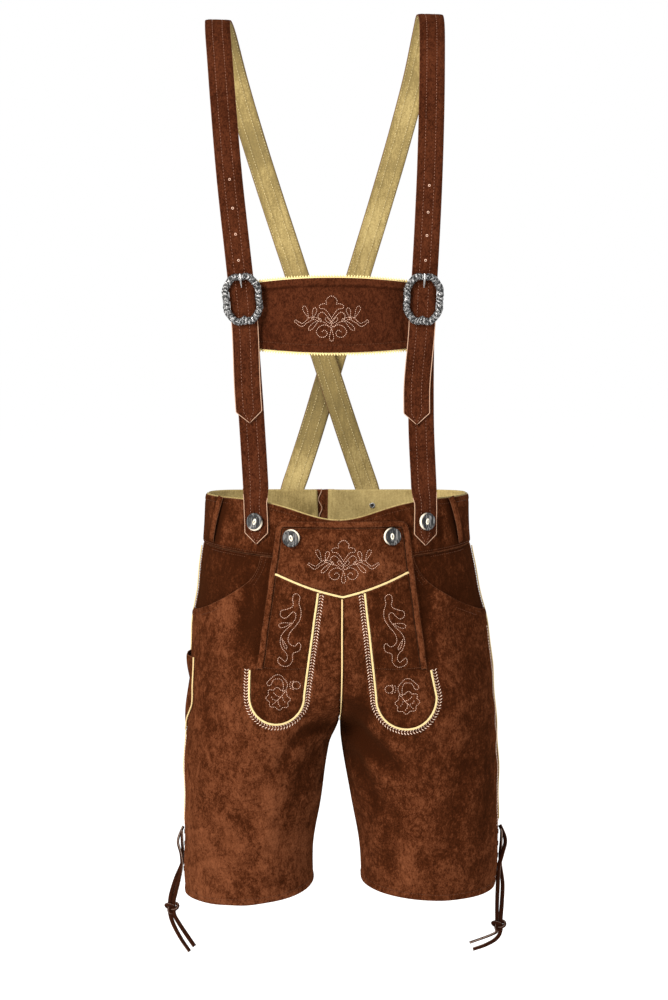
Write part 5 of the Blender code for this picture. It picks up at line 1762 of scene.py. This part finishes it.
# Turned forms: radius and height, as shares
BUTTON_FORM = np.array((
    (0, 0.62), (0.3, 0.64), (0.6, 0.7), (0.72, 0.86), (0.8, 0.98), (0.88, 1.0), (0.95, 0.9), (1.0, 0.62),
    (0.97, 0.25), (0.86, 0.0),
))
CORE_FORM = np.array(((0, 1.0), (0.35, 0.98), (0.7, 0.8), (0.92, 0.5), (1.0, 0.1), (1.0, -0.6)))
SLIT_FORM = np.array(((0, 1.0), (0.5, 0.95), (0.9, 0.6), (1.0, 0.0)))
CORE_RADIUS = 2.9 * MM
CORE_HEIGHT = 0.9 * MM
SLIT_RADIUS = 1.0 * MM
SLIT_HEIGHT = 0.35 * MM


def make_buttons():
    """Turned horn discs with an antler core and a dark slit in it, painted as shadow."""
    upright = np.array((0.0, 0.0, 1.0))
    radius = BUTTON / 2
    seats = {}
    for name, (x, z) in FLAP_BUTTONS.items():
        out = facing(FRONT, x, z)
        seats[name] = (on_body(FRONT, x, z, LAY + SUEDE + BUTTON_SHANK), out, upright)
    for side_name, side in SIDES.items():
        for half_name, front in (("front", True), ("back", False)):
            spot, out, run = brace_point(side, BRACE_BUTTON_Z, front)
            stack = STRAP_FACE + BUTTON_SHANK
            seats[f"brace_button_{half_name}_{side_name}"] = (spot + out * stack, out, run)
    for count, (name, (seat, out, _)) in enumerate(seats.items()):
        profile = BUTTON_FORM * (radius, BUTTON_THICK)
        around = 56
        turn = np.linspace(0, 2 * np.pi, around, endpoint=False)
        rim = np.repeat(ease((profile[1:, 0] / radius - 0.8) / 0.12), around)
        crescent = np.tile(0.5 + 0.5 * np.cos(turn - 0.9 - 2.1 * count), len(profile) - 1) ** 2
        pale = np.concatenate((rim * crescent, [0, 0]))
        fit(turned(name, profile, seat, out, finishes["horn"], around, pale), "horn", name)
        core_seat = seat + out * BUTTON_THICK * 0.6
        tilt = 0.35 * np.sin(2.3 * count + 0.7)
        for part, form, sizes, rise, key, slot, sides, oval in (
            ("core", CORE_FORM, (CORE_RADIUS, CORE_HEIGHT), 0.0, "antler", "antler", 28, (0.82, 1.42)),
            ("slit", SLIT_FORM, (SLIT_RADIUS, SLIT_HEIGHT), 0.72 * MM, "gap", "horn", 16, (0.8, 2.3)),
        ):
            seat = core_seat + out * rise
            inlay = turned(
                f"{name}_{part}", form * sizes, seat, out, finishes[key], sides, oval=oval, tilt=tilt
            )
            fit(inlay, slot)


# --- laces ---


def lace_line(name):
    return smooth_line(MM * np.array(LACES[name], float), 2 * MM)


def round_cosine(around):
    return np.cos(np.linspace(0, 2 * np.pi, around, endpoint=False))


def pale_edges(rod, ring):
    """Lets the cut edge show on the same places of each of the rod's rings, and on its ends."""
    rings = (len(rod.data.vertices) - 2) // len(ring)
    values = np.concatenate((np.tile(ring, rings), [1, 1]))
    rod.data.attributes["edge"].data.foreach_set("value", values.astype(np.float32))


def make_laces():
    """Four suede thongs that leave the side vents, meet in a knot and end cut off."""
    for name in LACES:
        points = lace_line(name)
        _, side, up = frames_along(points)
        turn = np.linspace(0.3, 2.4, len(points))[:, None]
        out = side * np.cos(turn) + up * np.sin(turn)
        thong = tube(name, points, LACE * 0.66, finishes["lace_suede"], 14, out, 0.6)
        pale_edges(thong, np.abs(round_cosine(14)) ** 5)
        knot = make_knot(name) if name.endswith("inner") else None
        float(run_along(points)[-1])
        fit(thong, "lace_suede", name)


def make_knot(lace_name):
    """An overhand knot pulled round both thongs."""
    name = "lace_knot_right" if "right" in lace_name else "lace_knot_left"
    t = np.linspace(0, 2 * np.pi, 97)
    loop = vec(np.sin(t) + 2 * np.sin(2 * t), -1.05 * np.sin(3 * t), np.cos(t) - 2 * np.cos(2 * t))
    points = loop * (2.9 * MM) * (1.0, 0.95, 0.78) + MM * np.array(KNOTS[name])
    knot = tube(name, points[:-1], 2.3 * MM, finishes["lace_suede"], 12)
    pale_edges(knot, np.maximum(round_cosine(12), 0) ** 8 * 0.8)
    return fit(knot, "lace_suede", name)


# --- stitches and embroidery ---


PROUD = 0.12 * MM
FRONT_FACE = LAY + SUEDE + PROUD


def body_line(half, x, z, lift=PROUD):
    """A line on the cloth for stitches, and the way that it faces."""
    x, z = np.broadcast_arrays(np.asarray(x, float), np.asarray(z, float))
    return on_body(half, x, z, lift), facing(half, x, z)


def side_line(side, half, t, z, lift=PROUD):
    return surface(side, half, t, z, lift), normal_at(side, half, t, z)


def trouser_seams():
    """Tone-in-tone topstitching along the pocket mouths, seams, hems, waistband and binding."""
    lines = []
    for side in (RIGHT, LEFT):
        for inset in MOUTH_ROWS:
            t, z = mouth(side, spread(0.06, np.pi / 2 * 0.97, 60), inset)
            lines.append(side_line(side, FRONT, np.minimum(t, 0.995), settled_height(side, FRONT, t, z)))
        for half in (FRONT, BACK):
            t = spread(0.01, 0.99, 90)
            hem = settled_height(side, half, t, np.full_like(t, HEM)) + HEM_ROW
            lines.append(side_line(side, half, t, hem, 0.0))
            z = spread(-782 * MM if half == FRONT else -690 * MM, VENT_TOP, 90)
            lines.append(side_line(side, half, np.full_like(z, 0.977), z))
            angle = side * spread(0.12 if half == BACK else 0.03, np.pi / 2 - 0.04, 90)
            for share, lift in ((0.10, 0.1 * MM), (0.94, 0.1 * MM)):
                flat = on_trunk(half, angle, np.full_like(angle, WAIST_TOP))
                top, foot = waist_top(half, flat[:, 0]), waist_seam(half, flat[:, 0])
                points = on_trunk(half, angle, top + (foot - top) * share, lift)
                out = unit(points - on_trunk(half, angle, top + (foot - top) * share, lift - 0.05))
                lines.append((points, out))
        for half in (FRONT, BACK):
            z = spread(-700 * MM, CROTCH + 16 * MM, 60)
            if half == BACK:
                lines.append(body_line(half, section(z)[:, CENTRE] + side * 3.4 * MM, z))
            x = side * spread(24 * MM if half == BACK else 118 * MM, 160 * MM, 40)
            lines.append(body_line(half, x, waist_seam(half, x) - 4 * MM))
    for away, radius in ((BINDING - 1.6 * MM, 11 * MM), (1.6 * MM, 8 * MM)):
        row = rounded(binding_corners(away), radius, 2 * MM)
        lines.append(body_line(FRONT, row[:, 0], row[:, 1], LAY + 2.45 * MM))
    x = spread(flap_edge(RIGHT, -0.71) + 2 * MM, flap_edge(LEFT, -0.71) - 2 * MM, 70)
    lines.append(body_line(FRONT, x, yoke_z(x) + 2.4 * MM, FRONT_FACE))
    return lines


def foot_lines():
    """The two rows across each shield where the flap opens."""
    lines = []
    for side in (RIGHT, LEFT):
        inner, outer = shield_edges(side, FLAP_FOOT + 1 * MM)
        x = spread(inner + side * MM, outer - side * MM, 30)
        z = FLAP_FOOT + 2.6 * MM - 1.5 * MM * np.sin(spread(0, np.pi, 30))
        lines.append(body_line(FRONT, x, z, SHIELD_LIFT + SUEDE + 0.6 * MM))
    return lines


def brace_rows(parts, lined):
    """The rows of stitches down each strap, four inside and two outside, which meet in its point."""
    lines = []
    for _, _, points, outs, ends in parts:
        line, out = dense_ends(points, outs)
        taper = point_taper(line, ends)
        side = frames_along(line, out)[1]
        for row in STRAP_ROWS if lined else STRAP_ROWS[1:3]:
            inside = taper > abs(row) * 0.4 + 0.18
            across = np.clip(row, -1, 1) * BRACE / 2 * np.clip(taper * 1.12 - 0.12, 0, 1)
            lift = -0.05 * MM if lined else STRAP_FACE - 0.1 * MM
            spots = line + side * across[:, None] + out * lift
            lines.append((spots[inside], (-out if lined else out)[inside]))
    return lines


def feather_lines():
    """The bands beside the shields' pipings and down the left side seam."""
    lines = []
    for side in (RIGHT, LEFT):
        line = evenly(shield_line(side, PIPING / 2 + SEAM + 4.9 * MM), 2 * MM)
        lines.append(body_line(FRONT, line[:, 0], line[:, 1], PROUD + 0.1 * MM))
    z = spread(WAIST_SEAM - POCKET_DEPTH - 22 * MM, VENT_TOP - 2 * MM, 120)
    lines.append(side_line(LEFT, FRONT, np.full_like(z, 0.93), z))
    z = spread(KNIFE_FOOT - 8 * MM, VENT_TOP - 2 * MM, 60)
    lines.append(side_line(RIGHT, FRONT, np.full_like(z, 0.962), z))
    return lines


def curve_2d(points):
    return smooth_line(points, 0.5)


def stem(points, wide):
    """The outline of a rounded stem round a line: both its sides and its two ends."""
    line = curve_2d(np.array(points, float))
    along = unit(np.gradient(line, axis=0))
    across = np.stack((-along[:, 1], along[:, 0]), -1)
    swell = wide * (0.82 + 0.18 * np.cos(np.linspace(0, 5 * np.pi, len(line))))[:, None]
    left, right = line + across * swell, line - across * swell
    caps = []
    for end, direction, start in ((line[-1], along[-1], across[-1]), (line[0], -along[0], -across[0])):
        a = np.linspace(0, np.pi, 9)[1:-1, None]
        caps.append(end + wide * (np.cos(a) * start + np.sin(a) * direction))
    return np.concatenate((left, caps[0], right[::-1], caps[1], left[:1]))


def leaf(base, tip, wide):
    """A leaf's outline, pointed at its base and round at its tip."""
    base, tip = np.array(base, float), np.array(tip, float)
    along = tip - base
    across = unit(np.array((-along[1], along[0])))
    a = np.linspace(0, 2 * np.pi, 37)[:, None]
    share = (1 - np.cos(a)) / 2
    return base + along * share + across * wide * np.sin(a) * (0.25 + 0.95 * share)


def ring(middle, radius, squash=1.0):
    a = np.linspace(0, 2 * np.pi, 25)
    return np.stack((middle[0] + radius * np.cos(a), middle[1] + radius * squash * np.sin(a)), -1)


def mirrored(lines):
    return lines + [line * (-1, 1) for line in lines]


def palmette_motif():
    """A three-lobed palmette over curls, with a leafy sprig to each side and a drop below."""
    crown = curve_2d((
        (0, 1), (4, 7), (8, 11.5), (13.5, 12.5), (14, 16), (9, 18), (6, 17.5), (6.5, 22), (3, 26), (0, 27),
    ))
    sprigs = [
        stem(((14, -1.5), (22, 1), (29, -3), (35, -7), (42, -3)), 1.9),
        leaf((22, 1.5), (19, 13), 2.9),
        leaf((27.5, 2), (33, 15), 2.9),
        leaf((15, -1), (27, -13), 2.7),
        curve_2d(((0, -3), (5, 3), (11, 8), (16, 4), (13, -2), (7, -5), (3, -9))),
        curve_2d(((3, -9), (8, -7), (14, -9), (18, -15), (14, -21), (8, -21), (5, -17), (8, -13), (11, -15))),
        leaf((0, -6), (7, 1), 2.2),
        ring((22, 0.5), 1.3),
    ]
    return mirrored([crown] + sprigs) + [leaf((0, -12), (0, -26), 3.0), ring((0, -9), 1.2)]


def vine_motif():
    """A climbing shoot in one outline, which swings to both sides and ends in round buds."""
    outline = (
        (5, 36), (6, 42), (10, 44), (14, 40), (13, 32), (15.5, 23), (14.5, 13), (9, 4), (3, -3), (0, -9),
        (-0.5, -15), (3, -20), (8, -21), (12, -17), (15, -20), (13, -27), (6, -30), (4.5, -34), (4, -41),
        (-2, -47), (-10, -46), (-14, -41), (-12.5, -36), (-9, -38), (-5, -41), (-2, -37), (-3, -31),
        (-8, -25), (-10.5, -17), (-9, -9), (-4, -2), (3, 5), (8, 12), (9, 19), (5, 21), (0, 16), (-5, 13),
        (-10, 16), (-9, 22), (-3, 24), (4, 27), (6, 31), (5, 36),
    )
    return [curve_2d(outline), leaf((3, 7), (-12, 3), 3.4), leaf((-8, -13), (-3, -25), 1.8)]


def oak_motif():
    """An oak leaf and an acorn on a bent stem."""
    a = np.linspace(0, 2 * np.pi, 97)
    lobes = 13.0 * (1 + 0.1 * np.cos(8 * a + 0.4))
    blade = np.stack((-5 + lobes * np.cos(a) * 1.05 - 0.14 * lobes * np.sin(a), -12 + lobes * np.sin(a)), -1)
    forks = (
        ((3, -4), (-4, -12), (-12, -19)), ((0, -8), (1, -13), (3, -16)), ((-2, -10), (-7, -8), (-10, -5)),
        ((-5, -13), (-5, -18), (-3, -21)), ((-6, -14), (-11, -13), (-13, -10)),
    )
    veins = [curve_2d(points) for points in forks]
    acorn = [ring((18, 5), 5.0, 0.94)]
    cups = (
        ((14, 0), (12.6, 5), (14, 10)), ((10.6, 1), (9.4, 5), (10.6, 9)), ((14, 0), (10.6, 1)),
        ((14, 10), (10.6, 9)),
    )
    cap = [curve_2d(points) for points in cups]
    return [stem(((-16, 7), (-10, 14), (-2, 15), (4, 7), (3, -1)), 2.7), blade] + veins + acorn + cap


def on_front(motif, x, z, flip, lift):
    """The motif's lines on the front of the trousers, in place."""
    return [body_line(FRONT, x + line[:, 0] * flip * MM, z + line[:, 1] * MM, lift) for line in motif]


def on_chest(motif, x, z, size):
    lines = []
    for line in motif:
        across, up = x + line[:, 0] * size * MM, z + line[:, 1] * size * MM
        points = chest_point(across, up, -CHEST_SETS_BACK + PROUD)
        lines.append((points, same_way(points, 0, -1, 0)))
    return lines


def make_stitching(sizes):
    running, feather = running_stitch_tree(), feather_stitch_tree()
    long = {"Spacing": sizes.spacing, "Stitch": sizes.stitch, "Thread": sizes.thread}
    short = {"Spacing": sizes.spacing * 0.69, "Stitch": sizes.stitch * 0.75, "Thread": sizes.thread * 1.2}
    strap = {"Spacing": sizes.spacing * 1.2, "Stitch": sizes.stitch * 1.15, "Thread": sizes.thread * 0.9}
    barbs = {"Spacing": sizes.barb_spacing, "Reach": sizes.barb_reach, "Thread": sizes.thread * 1.5}
    parts = strap_parts()
    chest_u = np.linspace(-0.86, 0.86, 120)
    chest_x = CHEST_MIDDLE + CHEST_REACH * chest_u
    chest_z = chest_edges(chest_u)[1] + 9.5 * MM
    points = chest_point(chest_x, chest_z, -CHEST_SETS_BACK - 0.3 * MM)
    chest_row = (points, same_way(points, 0, -1, 0))
    yoke_motif = on_front(palmette_motif(), 6.8 * MM, -693 * MM, 1, FRONT_FACE + 0.9 * MM)
    chest_motif = on_chest(palmette_motif(), -8 * MM, -392 * MM, 1.04)
    work = (
        ("trouser_stitching", running, trouser_seams() + [chest_row], "tonal_thread", long),
        ("shield_foot_stitching", running, foot_lines(), "tonal_thread", short),
        ("brace_stitching", running, brace_rows(parts, False), "brace_thread", strap),
        ("brace_lining_stitching", running, brace_rows(parts, True), "straw_thread", strap),
        ("feather_stitching", feather, feather_lines(), "bright_thread", barbs),
        ("yoke_embroidery", running, yoke_motif, "thread", short),
        ("chest_embroidery", running, chest_motif, "thread", short),
    )
    for name, tree, lines, key, values in work:
        fit(repeated(name, tree, lines, finishes[key], values), "thread")
    lift = SHIELD_LIFT + SUEDE + PROUD + 0.6 * MM
    for side_name, side in SIDES.items():
        vine_x, vine_z, oak_x, oak_z = (-61, -777, -70, -853) if side == RIGHT else (72, -778, 82, -858)
        lines = on_front(vine_motif(), vine_x * MM, vine_z * MM, -side, lift)
        lines += on_front(oak_motif(), oak_x * MM, oak_z * MM, -side, lift)
        fit(repeated(f"shield_embroidery_{side_name}", running, lines, finishes["thread"], short), "thread")


def make_pinking(sizes):
    """Saw teeth along the backing's upper and lower edges."""
    u = np.linspace(-0.99, 0.99, 160)
    x = CHEST_MIDDLE + CHEST_REACH * u
    top, foot = chest_edges(u)
    lift = -CHEST_SETS_BACK - SUEDE - BRACE_GAP - LINING / 2
    lines = []
    for edge, way in ((top + 1.9 * MM, 1), (foot - 1.9 * MM, -1)):
        points = chest_point(x, edge, lift)[::way]
        lines.append((points, same_way(points, 0, -1, 0)))
    values = {"Spacing": sizes.pinking, "Depth": sizes.pinking * 0.72, "Leather": LINING * 0.9}
    fit(repeated("chest_pinked_edge", pinking_tree(), lines, finishes["cream"], values), "piping")


TAIL_HOLES = {RIGHT: (-221, -256.5, -288.5, -320.5), LEFT: (-228.5, -261.5, -290, -320.5)}
VENT_HOLES = (-1062, -1078, -1094, -1112)
VENT_SPREAD = 12 * MM
TAIL_EYELET = 1.25 * MM
VENT_EYELET = 2.6 * MM


def make_eyelets():
    """Rims round the holes in the braces' tails and at the laced side vents, and dark discs of painted shadow
    for the holes in them.
    """
    tails, vents = [], []
    for side in (RIGHT, LEFT):
        for level in TAIL_HOLES[side]:
            spot, out, run = brace_point(side, level * MM)
            lift = float(tail_lift(spot[None])[0]) + STRAP_FACE
            tails.append((spot + out * lift, out, run))
        for level in VENT_HOLES:
            z = level * MM
            for half in (FRONT, BACK):
                depth = section(z)[DEEP_FRONT if half == FRONT else DEEP_BACK]
                t = 1 - np.arcsin(VENT_SPREAD / depth) / np.pi
                spot = surface(side, half, np.array(t), np.array(z), 0.2 * MM)
                vents.append((spot, normal_at(side, half, np.array(t), np.array(z)), np.array((0, 0, 1.0))))
    for name, seats, key, slot, radius in (
        ("brace_eyelets", tails, "thread", "thread", TAIL_EYELET),
        ("vent_eyelets", vents, "brass", "silver", VENT_EYELET),
    ):
        lines = [(np.stack((spot, spot + run * 0.2 * MM)), np.stack((out, out))) for spot, out, run in seats]
        values = {"Spacing": 20 * MM, "Radius": radius, "Rim": radius * 0.26}
        fit(repeated(name, eyelet_tree(), lines, finishes[key], values), slot)
        for count, (spot, out, _) in enumerate(seats):
            profile = np.array(((0, 0.12), (0.6, 0.12), (1.0, 0.02))) * (radius * 0.95, MM)
            hole = turned(f"{name[:-1]}_hole_{count + 1}", profile, spot, out, finishes["gap"], 12)
            fit(hole, slot)


# --- the stage ---


CAMERA_AT = (-0.005, -2.5, -0.40)
CAMERA_LOOKS_AT = (-0.005, 0.0, -0.626)
LENS = 69.5
FLOOR_REACH = 40.0


def area_light(name, place, target, size, power, colour):
    data = bpy.data.lights.new(name, "AREA")
    data.size, data.energy, data.color = size, power, colour
    lamp = bpy.data.objects.new(name, data)
    lamp.location = place
    lamp.rotation_euler = (Vector(target) - Vector(place)).to_track_quat("-Z", "Y").to_euler()
    bpy.context.scene.collection.objects.link(lamp)


def make_stage(settings):
    scene = bpy.context.scene
    data = bpy.data.cameras.new("camera")
    data.lens, data.sensor_width = LENS, 36.0
    camera = bpy.data.objects.new("camera", data)
    camera.location = CAMERA_AT
    looks = Vector(CAMERA_LOOKS_AT) - Vector(CAMERA_AT)
    camera.rotation_euler = looks.to_track_quat("-Z", "Y").to_euler()
    scene.collection.objects.link(camera)
    scene.camera = camera
    world = bpy.data.worlds.new("studio")
    world.use_nodes = True
    world.node_tree.nodes["Background"].inputs["Color"].default_value = (1, 1, 1, 1)
    world.node_tree.nodes["Background"].inputs["Strength"].default_value = settings.world
    scene.world = world
    scene.view_settings.view_transform = "Standard"
    middle = (0.0, 0.0, -0.62)
    area_light("key", (-1.9, -2.4, 0.9), middle, 1.3, settings.key, (1.0, 0.97, 0.93))
    area_light("fill", (2.3, -2.2, 0.1), middle, 1.8, settings.fill, (0.95, 0.97, 1.0))
    area_light("rim", (0.4, 2.4, 1.0), middle, 1.6, settings.rim, (1.0, 1.0, 1.0))
    level = cad_box[0].z - settings.floor_drop
    corners = [(x * FLOOR_REACH, y * FLOOR_REACH, level) for x, y in ((-1, -1), (1, -1), (1, 1), (-1, 1))]
    floor = bpy.data.meshes.new("floor")
    floor.from_pydata(corners, [], [(0, 1, 2, 3)])
    ground = bpy.data.objects.new("floor", floor)
    scene.collection.objects.link(ground)
    pale = Finish("floor", 1.0)
    pale.shader.inputs["Specular IOR Level"].default_value = 0.0
    pale.shader.inputs["Base Color"].default_value = (1, 1, 1, 1)
    floor.materials.append(pale.material)


# --- settings, operators and panel ---


def tint(name, description, default):
    return bpy.props.FloatVectorProperty(
        name=name, description=description, default=default, subtype="COLOR", size=3, min=0, max=1
    )


def span(name, description, default):
    return bpy.props.FloatProperty(
        name=name, description=description, default=default, unit="LENGTH", min=0.0001, max=0.1, precision=4
    )


def amount(name, description, default, unit="NONE"):
    return bpy.props.FloatProperty(name=name, description=description, default=default, unit=unit, min=0)


class LederhosenColours(bpy.types.PropertyGroup):
    # The pale colours show brushed nap and also the painted light of the pieces' shade attribute; darker
    # mixes of the base colours show its painted shade.
    suede: tint("Suede", "Nap of the trousers", (0.050, 0.0125, 0.0040))
    suede_pale: tint("Brushed suede", "Where the nap is brushed light", (0.134, 0.0432, 0.0176))
    suede_edge: tint("Suede edge", "Rubbed edges of the trousers", (0.15, 0.06, 0.03))
    brace: tint("Brace suede", "Redder suede of the braces and chest piece", (0.037, 0.0092, 0.0036))
    brace_pale: tint("Brushed brace", "Where the braces are brushed light", (0.088, 0.025, 0.0100))
    brace_edge: tint("Brace edge", "Cut edges of the braces", (0.2, 0.085, 0.05))
    lace: tint("Laces", "Suede of the laces", (0.022, 0.0070, 0.0035))
    lining: tint("Lining", "Tan leather inside the braces and waistband", (0.225, 0.163, 0.058))
    lining_pale: tint("Pale lining", "Light places in the lining", (0.47, 0.36, 0.15))
    piping: tint("Piping", "Cream piping leather", (0.60, 0.44, 0.20))
    pinked: tint("Pinked edge", "Backing of the chest piece", (0.78, 0.62, 0.27))
    cut: tint("Cut edge", "Raw edges of the braces' tails and tabs", (0.42, 0.25, 0.16))
    thread: tint("Thread", "Embroidery and brace stitches", (0.78, 0.50, 0.37))
    brace_thread: tint("Brace thread", "Rows of stitches down the braces", (0.33, 0.155, 0.10))
    tonal: tint("Tonal thread", "Topstitching of the trousers", (0.115, 0.042, 0.019))
    bright: tint("Feather thread", "Feather stitch round the shields", (0.95, 0.70, 0.55))
    straw: tint("Straw thread", "Stitches on the lining", (0.80, 0.66, 0.36))
    horn: tint("Horn", "Dark streaks of the buttons", (0.004, 0.004, 0.0045))
    horn_pale: tint("Pale horn", "Light streaks of the buttons", (0.17, 0.165, 0.16))
    antler: tint("Antler", "Cores of the buttons", (0.72, 0.66, 0.52))


class LederhosenStitches(bpy.types.PropertyGroup):
    spacing: span("Spacing", "From one stitch to the next", 3.3 * MM)
    stitch: span("Stitch", "Length of a stitch", 2.6 * MM)
    thread: span("Thread", "Thickness of the thread", 0.68 * MM)
    barb_spacing: span("Feather spacing", "From one pair of barbs to the next", 3.7 * MM)
    barb_reach: span("Feather reach", "Length of a barb", 4.0 * MM)
    pinking: span("Pinking", "From one tooth of the pinked edge to the next", 3.5 * MM)


class LederhosenStage(bpy.types.PropertyGroup):
    world: amount("World", "Strength of the white surroundings", 1.0)
    key: amount("Key", "Soft light from the front left", 150.0, "POWER")
    fill: amount("Fill", "Soft light from the right", 16.0, "POWER")
    rim: amount("Rim", "Soft light from behind", 20.0, "POWER")
    floor_drop: amount("Floor", "How far the floor lies below the laces", 0.5, "LENGTH")


def mix_finishes(colours):
    """Makes every material once."""
    edge = tuple(colours.suede_edge)
    finishes["suede"] = suede("suede", tuple(colours.suede), tuple(colours.suede_pale), edge, 1.0, 330)
    brace, brace_pale = tuple(colours.brace), tuple(colours.brace_pale)
    finishes["brace_suede"] = suede("brace_suede", brace, brace_pale, tuple(colours.brace_edge), 0.5, 360)
    finishes["lace_suede"] = suede("lace_suede", tuple(colours.lace), brace, (0.50, 0.37, 0.30), 0.6, 700)
    finishes["lining"] = lining("lining", tuple(colours.lining), tuple(colours.lining_pale))
    finishes["piping"] = piping_leather("piping", tuple(colours.piping))
    finishes["cream"] = piping_leather("pinked_leather", tuple(colours.pinked))
    finishes["cut"] = piping_leather("cut_edge", tuple(colours.cut))
    threads = {
        "thread": colours.thread, "brace_thread": colours.brace_thread, "tonal_thread": colours.tonal,
        "straw_thread": colours.straw, "bright_thread": colours.bright,
    }
    for key, colour in threads.items():
        finishes[key] = thread(key, tuple(colour))
    finishes["silver"] = antique_silver("antique_silver")
    finishes["brass"] = antique_silver("eyelet_metal")
    finishes["horn"] = horn("horn", tuple(colours.horn), tuple(colours.horn_pale))
    finishes["antler"] = antler("antler", tuple(colours.antler))
    finishes["gap"] = shadow_gap("dark_hollow")


class Step:
    """What most operators do: run their makers."""

    makers = ()

    def execute(self, context):
        for maker in self.makers:
            maker()
        return {"FINISHED"}


class LEDERHOSEN_OT_stage(bpy.types.Operator):
    """Set up the camera, lights and floor"""

    bl_idname = "lederhosen.stage"
    bl_label = "Stage"

    def execute(self, context):
        make_stage(context.scene.lederhosen_stage)
        return {"FINISHED"}


class LEDERHOSEN_OT_finishes(bpy.types.Operator):
    """Mix the suede, leather, thread, metal and horn"""

    bl_idname = "lederhosen.finishes"
    bl_label = "Finishes"

    def execute(self, context):
        mix_finishes(context.scene.lederhosen_colours)
        return {"FINISHED"}


class LEDERHOSEN_OT_laces(Step, bpy.types.Operator):
    """Lay the four laces and tie their knots"""

    bl_idname = "lederhosen.laces"
    bl_label = "Laces"
    makers = (make_laces,)


class LEDERHOSEN_OT_panels(Step, bpy.types.Operator):
    """Cut the trouser panels, pocket facings and gusset"""

    bl_idname = "lederhosen.panels"
    bl_label = "Panels"
    makers = (make_panels, make_facings, make_gusset)


class LEDERHOSEN_OT_waistband(Step, bpy.types.Operator):
    """Sew the lined waistband, its belt loops and rivets"""

    bl_idname = "lederhosen.waistband"
    bl_label = "Waistband"
    makers = (make_waistbands, make_belt_loops, make_rivets)


class LEDERHOSEN_OT_flap(Step, bpy.types.Operator):
    """Make the bound flap with its yoke and shields"""

    bl_idname = "lederhosen.flap"
    bl_label = "Flap"
    makers = (make_yoke, make_shields, make_binding)


class LEDERHOSEN_OT_pipings(Step, bpy.types.Operator):
    """Roll the cream pipings, and add the knife pocket on the side seam"""

    bl_idname = "lederhosen.pipings"
    bl_label = "Pipings"
    makers = (make_pipings, make_side_pipings, make_knife_pocket)


class LEDERHOSEN_OT_braces(Step, bpy.types.Operator):
    """Make the crossed braces, their tabs and linings"""

    bl_idname = "lederhosen.braces"
    bl_label = "Braces"
    makers = (make_braces, make_cut_edges)


class LEDERHOSEN_OT_chest_piece(bpy.types.Operator):
    """Make the chest piece with its pinked backing"""

    bl_idname = "lederhosen.chest_piece"
    bl_label = "Chest piece"

    def execute(self, context):
        make_chest_piece()
        make_pinking(context.scene.lederhosen_stitches)
        return {"FINISHED"}


class LEDERHOSEN_OT_fittings(Step, bpy.types.Operator):
    """Cast the buckles, turn the buttons and set the eyelets"""

    bl_idname = "lederhosen.fittings"
    bl_label = "Buckles, buttons and eyelets"
    makers = (make_buckles, make_buttons, make_eyelets)


class LEDERHOSEN_OT_stitching(bpy.types.Operator):
    """Work the topstitching, feather stitch and embroidery"""

    bl_idname = "lederhosen.stitching"
    bl_label = "Stitching"

    def execute(self, context):
        make_stitching(context.scene.lederhosen_stitches)
        return {"FINISHED"}


OPERATORS = (
    LEDERHOSEN_OT_stage, LEDERHOSEN_OT_finishes, LEDERHOSEN_OT_laces, LEDERHOSEN_OT_panels,
    LEDERHOSEN_OT_waistband, LEDERHOSEN_OT_flap, LEDERHOSEN_OT_pipings, LEDERHOSEN_OT_braces,
    LEDERHOSEN_OT_chest_piece, LEDERHOSEN_OT_fittings, LEDERHOSEN_OT_stitching,
)
SETTINGS = {
    "lederhosen_colours": LederhosenColours,
    "lederhosen_stitches": LederhosenStitches,
    "lederhosen_stage": LederhosenStage,
}


class LEDERHOSEN_PT_panel(bpy.types.Panel):
    """Lists the settings and the steps"""

    bl_label = "Lederhosen"
    bl_idname = "LEDERHOSEN_PT_panel"
    bl_space_type = "VIEW_3D"
    bl_region_type = "UI"
    bl_category = "Lederhosen"

    def draw(self, context):
        for label, group in SETTINGS.items():
            box = self.layout.box()
            for setting in group.__annotations__:
                box.prop(getattr(context.scene, label), setting)
        for step in OPERATORS:
            self.layout.operator(step.bl_idname)


def register():
    for made in (*SETTINGS.values(), *OPERATORS, LEDERHOSEN_PT_panel):
        bpy.utils.register_class(made)
    for label, group in SETTINGS.items():
        setattr(bpy.types.Scene, label, bpy.props.PointerProperty(type=group))


def unregister():
    for label in SETTINGS:
        delattr(bpy.types.Scene, label)
    for made in (LEDERHOSEN_PT_panel, *reversed(OPERATORS), *SETTINGS.values()):
        bpy.utils.unregister_class(made)


def main():
    register()
    for step in OPERATORS:
        family, label = step.bl_idname.split(".")
        getattr(getattr(bpy.ops, family), label)()


if __name__ == "__main__":
    main()
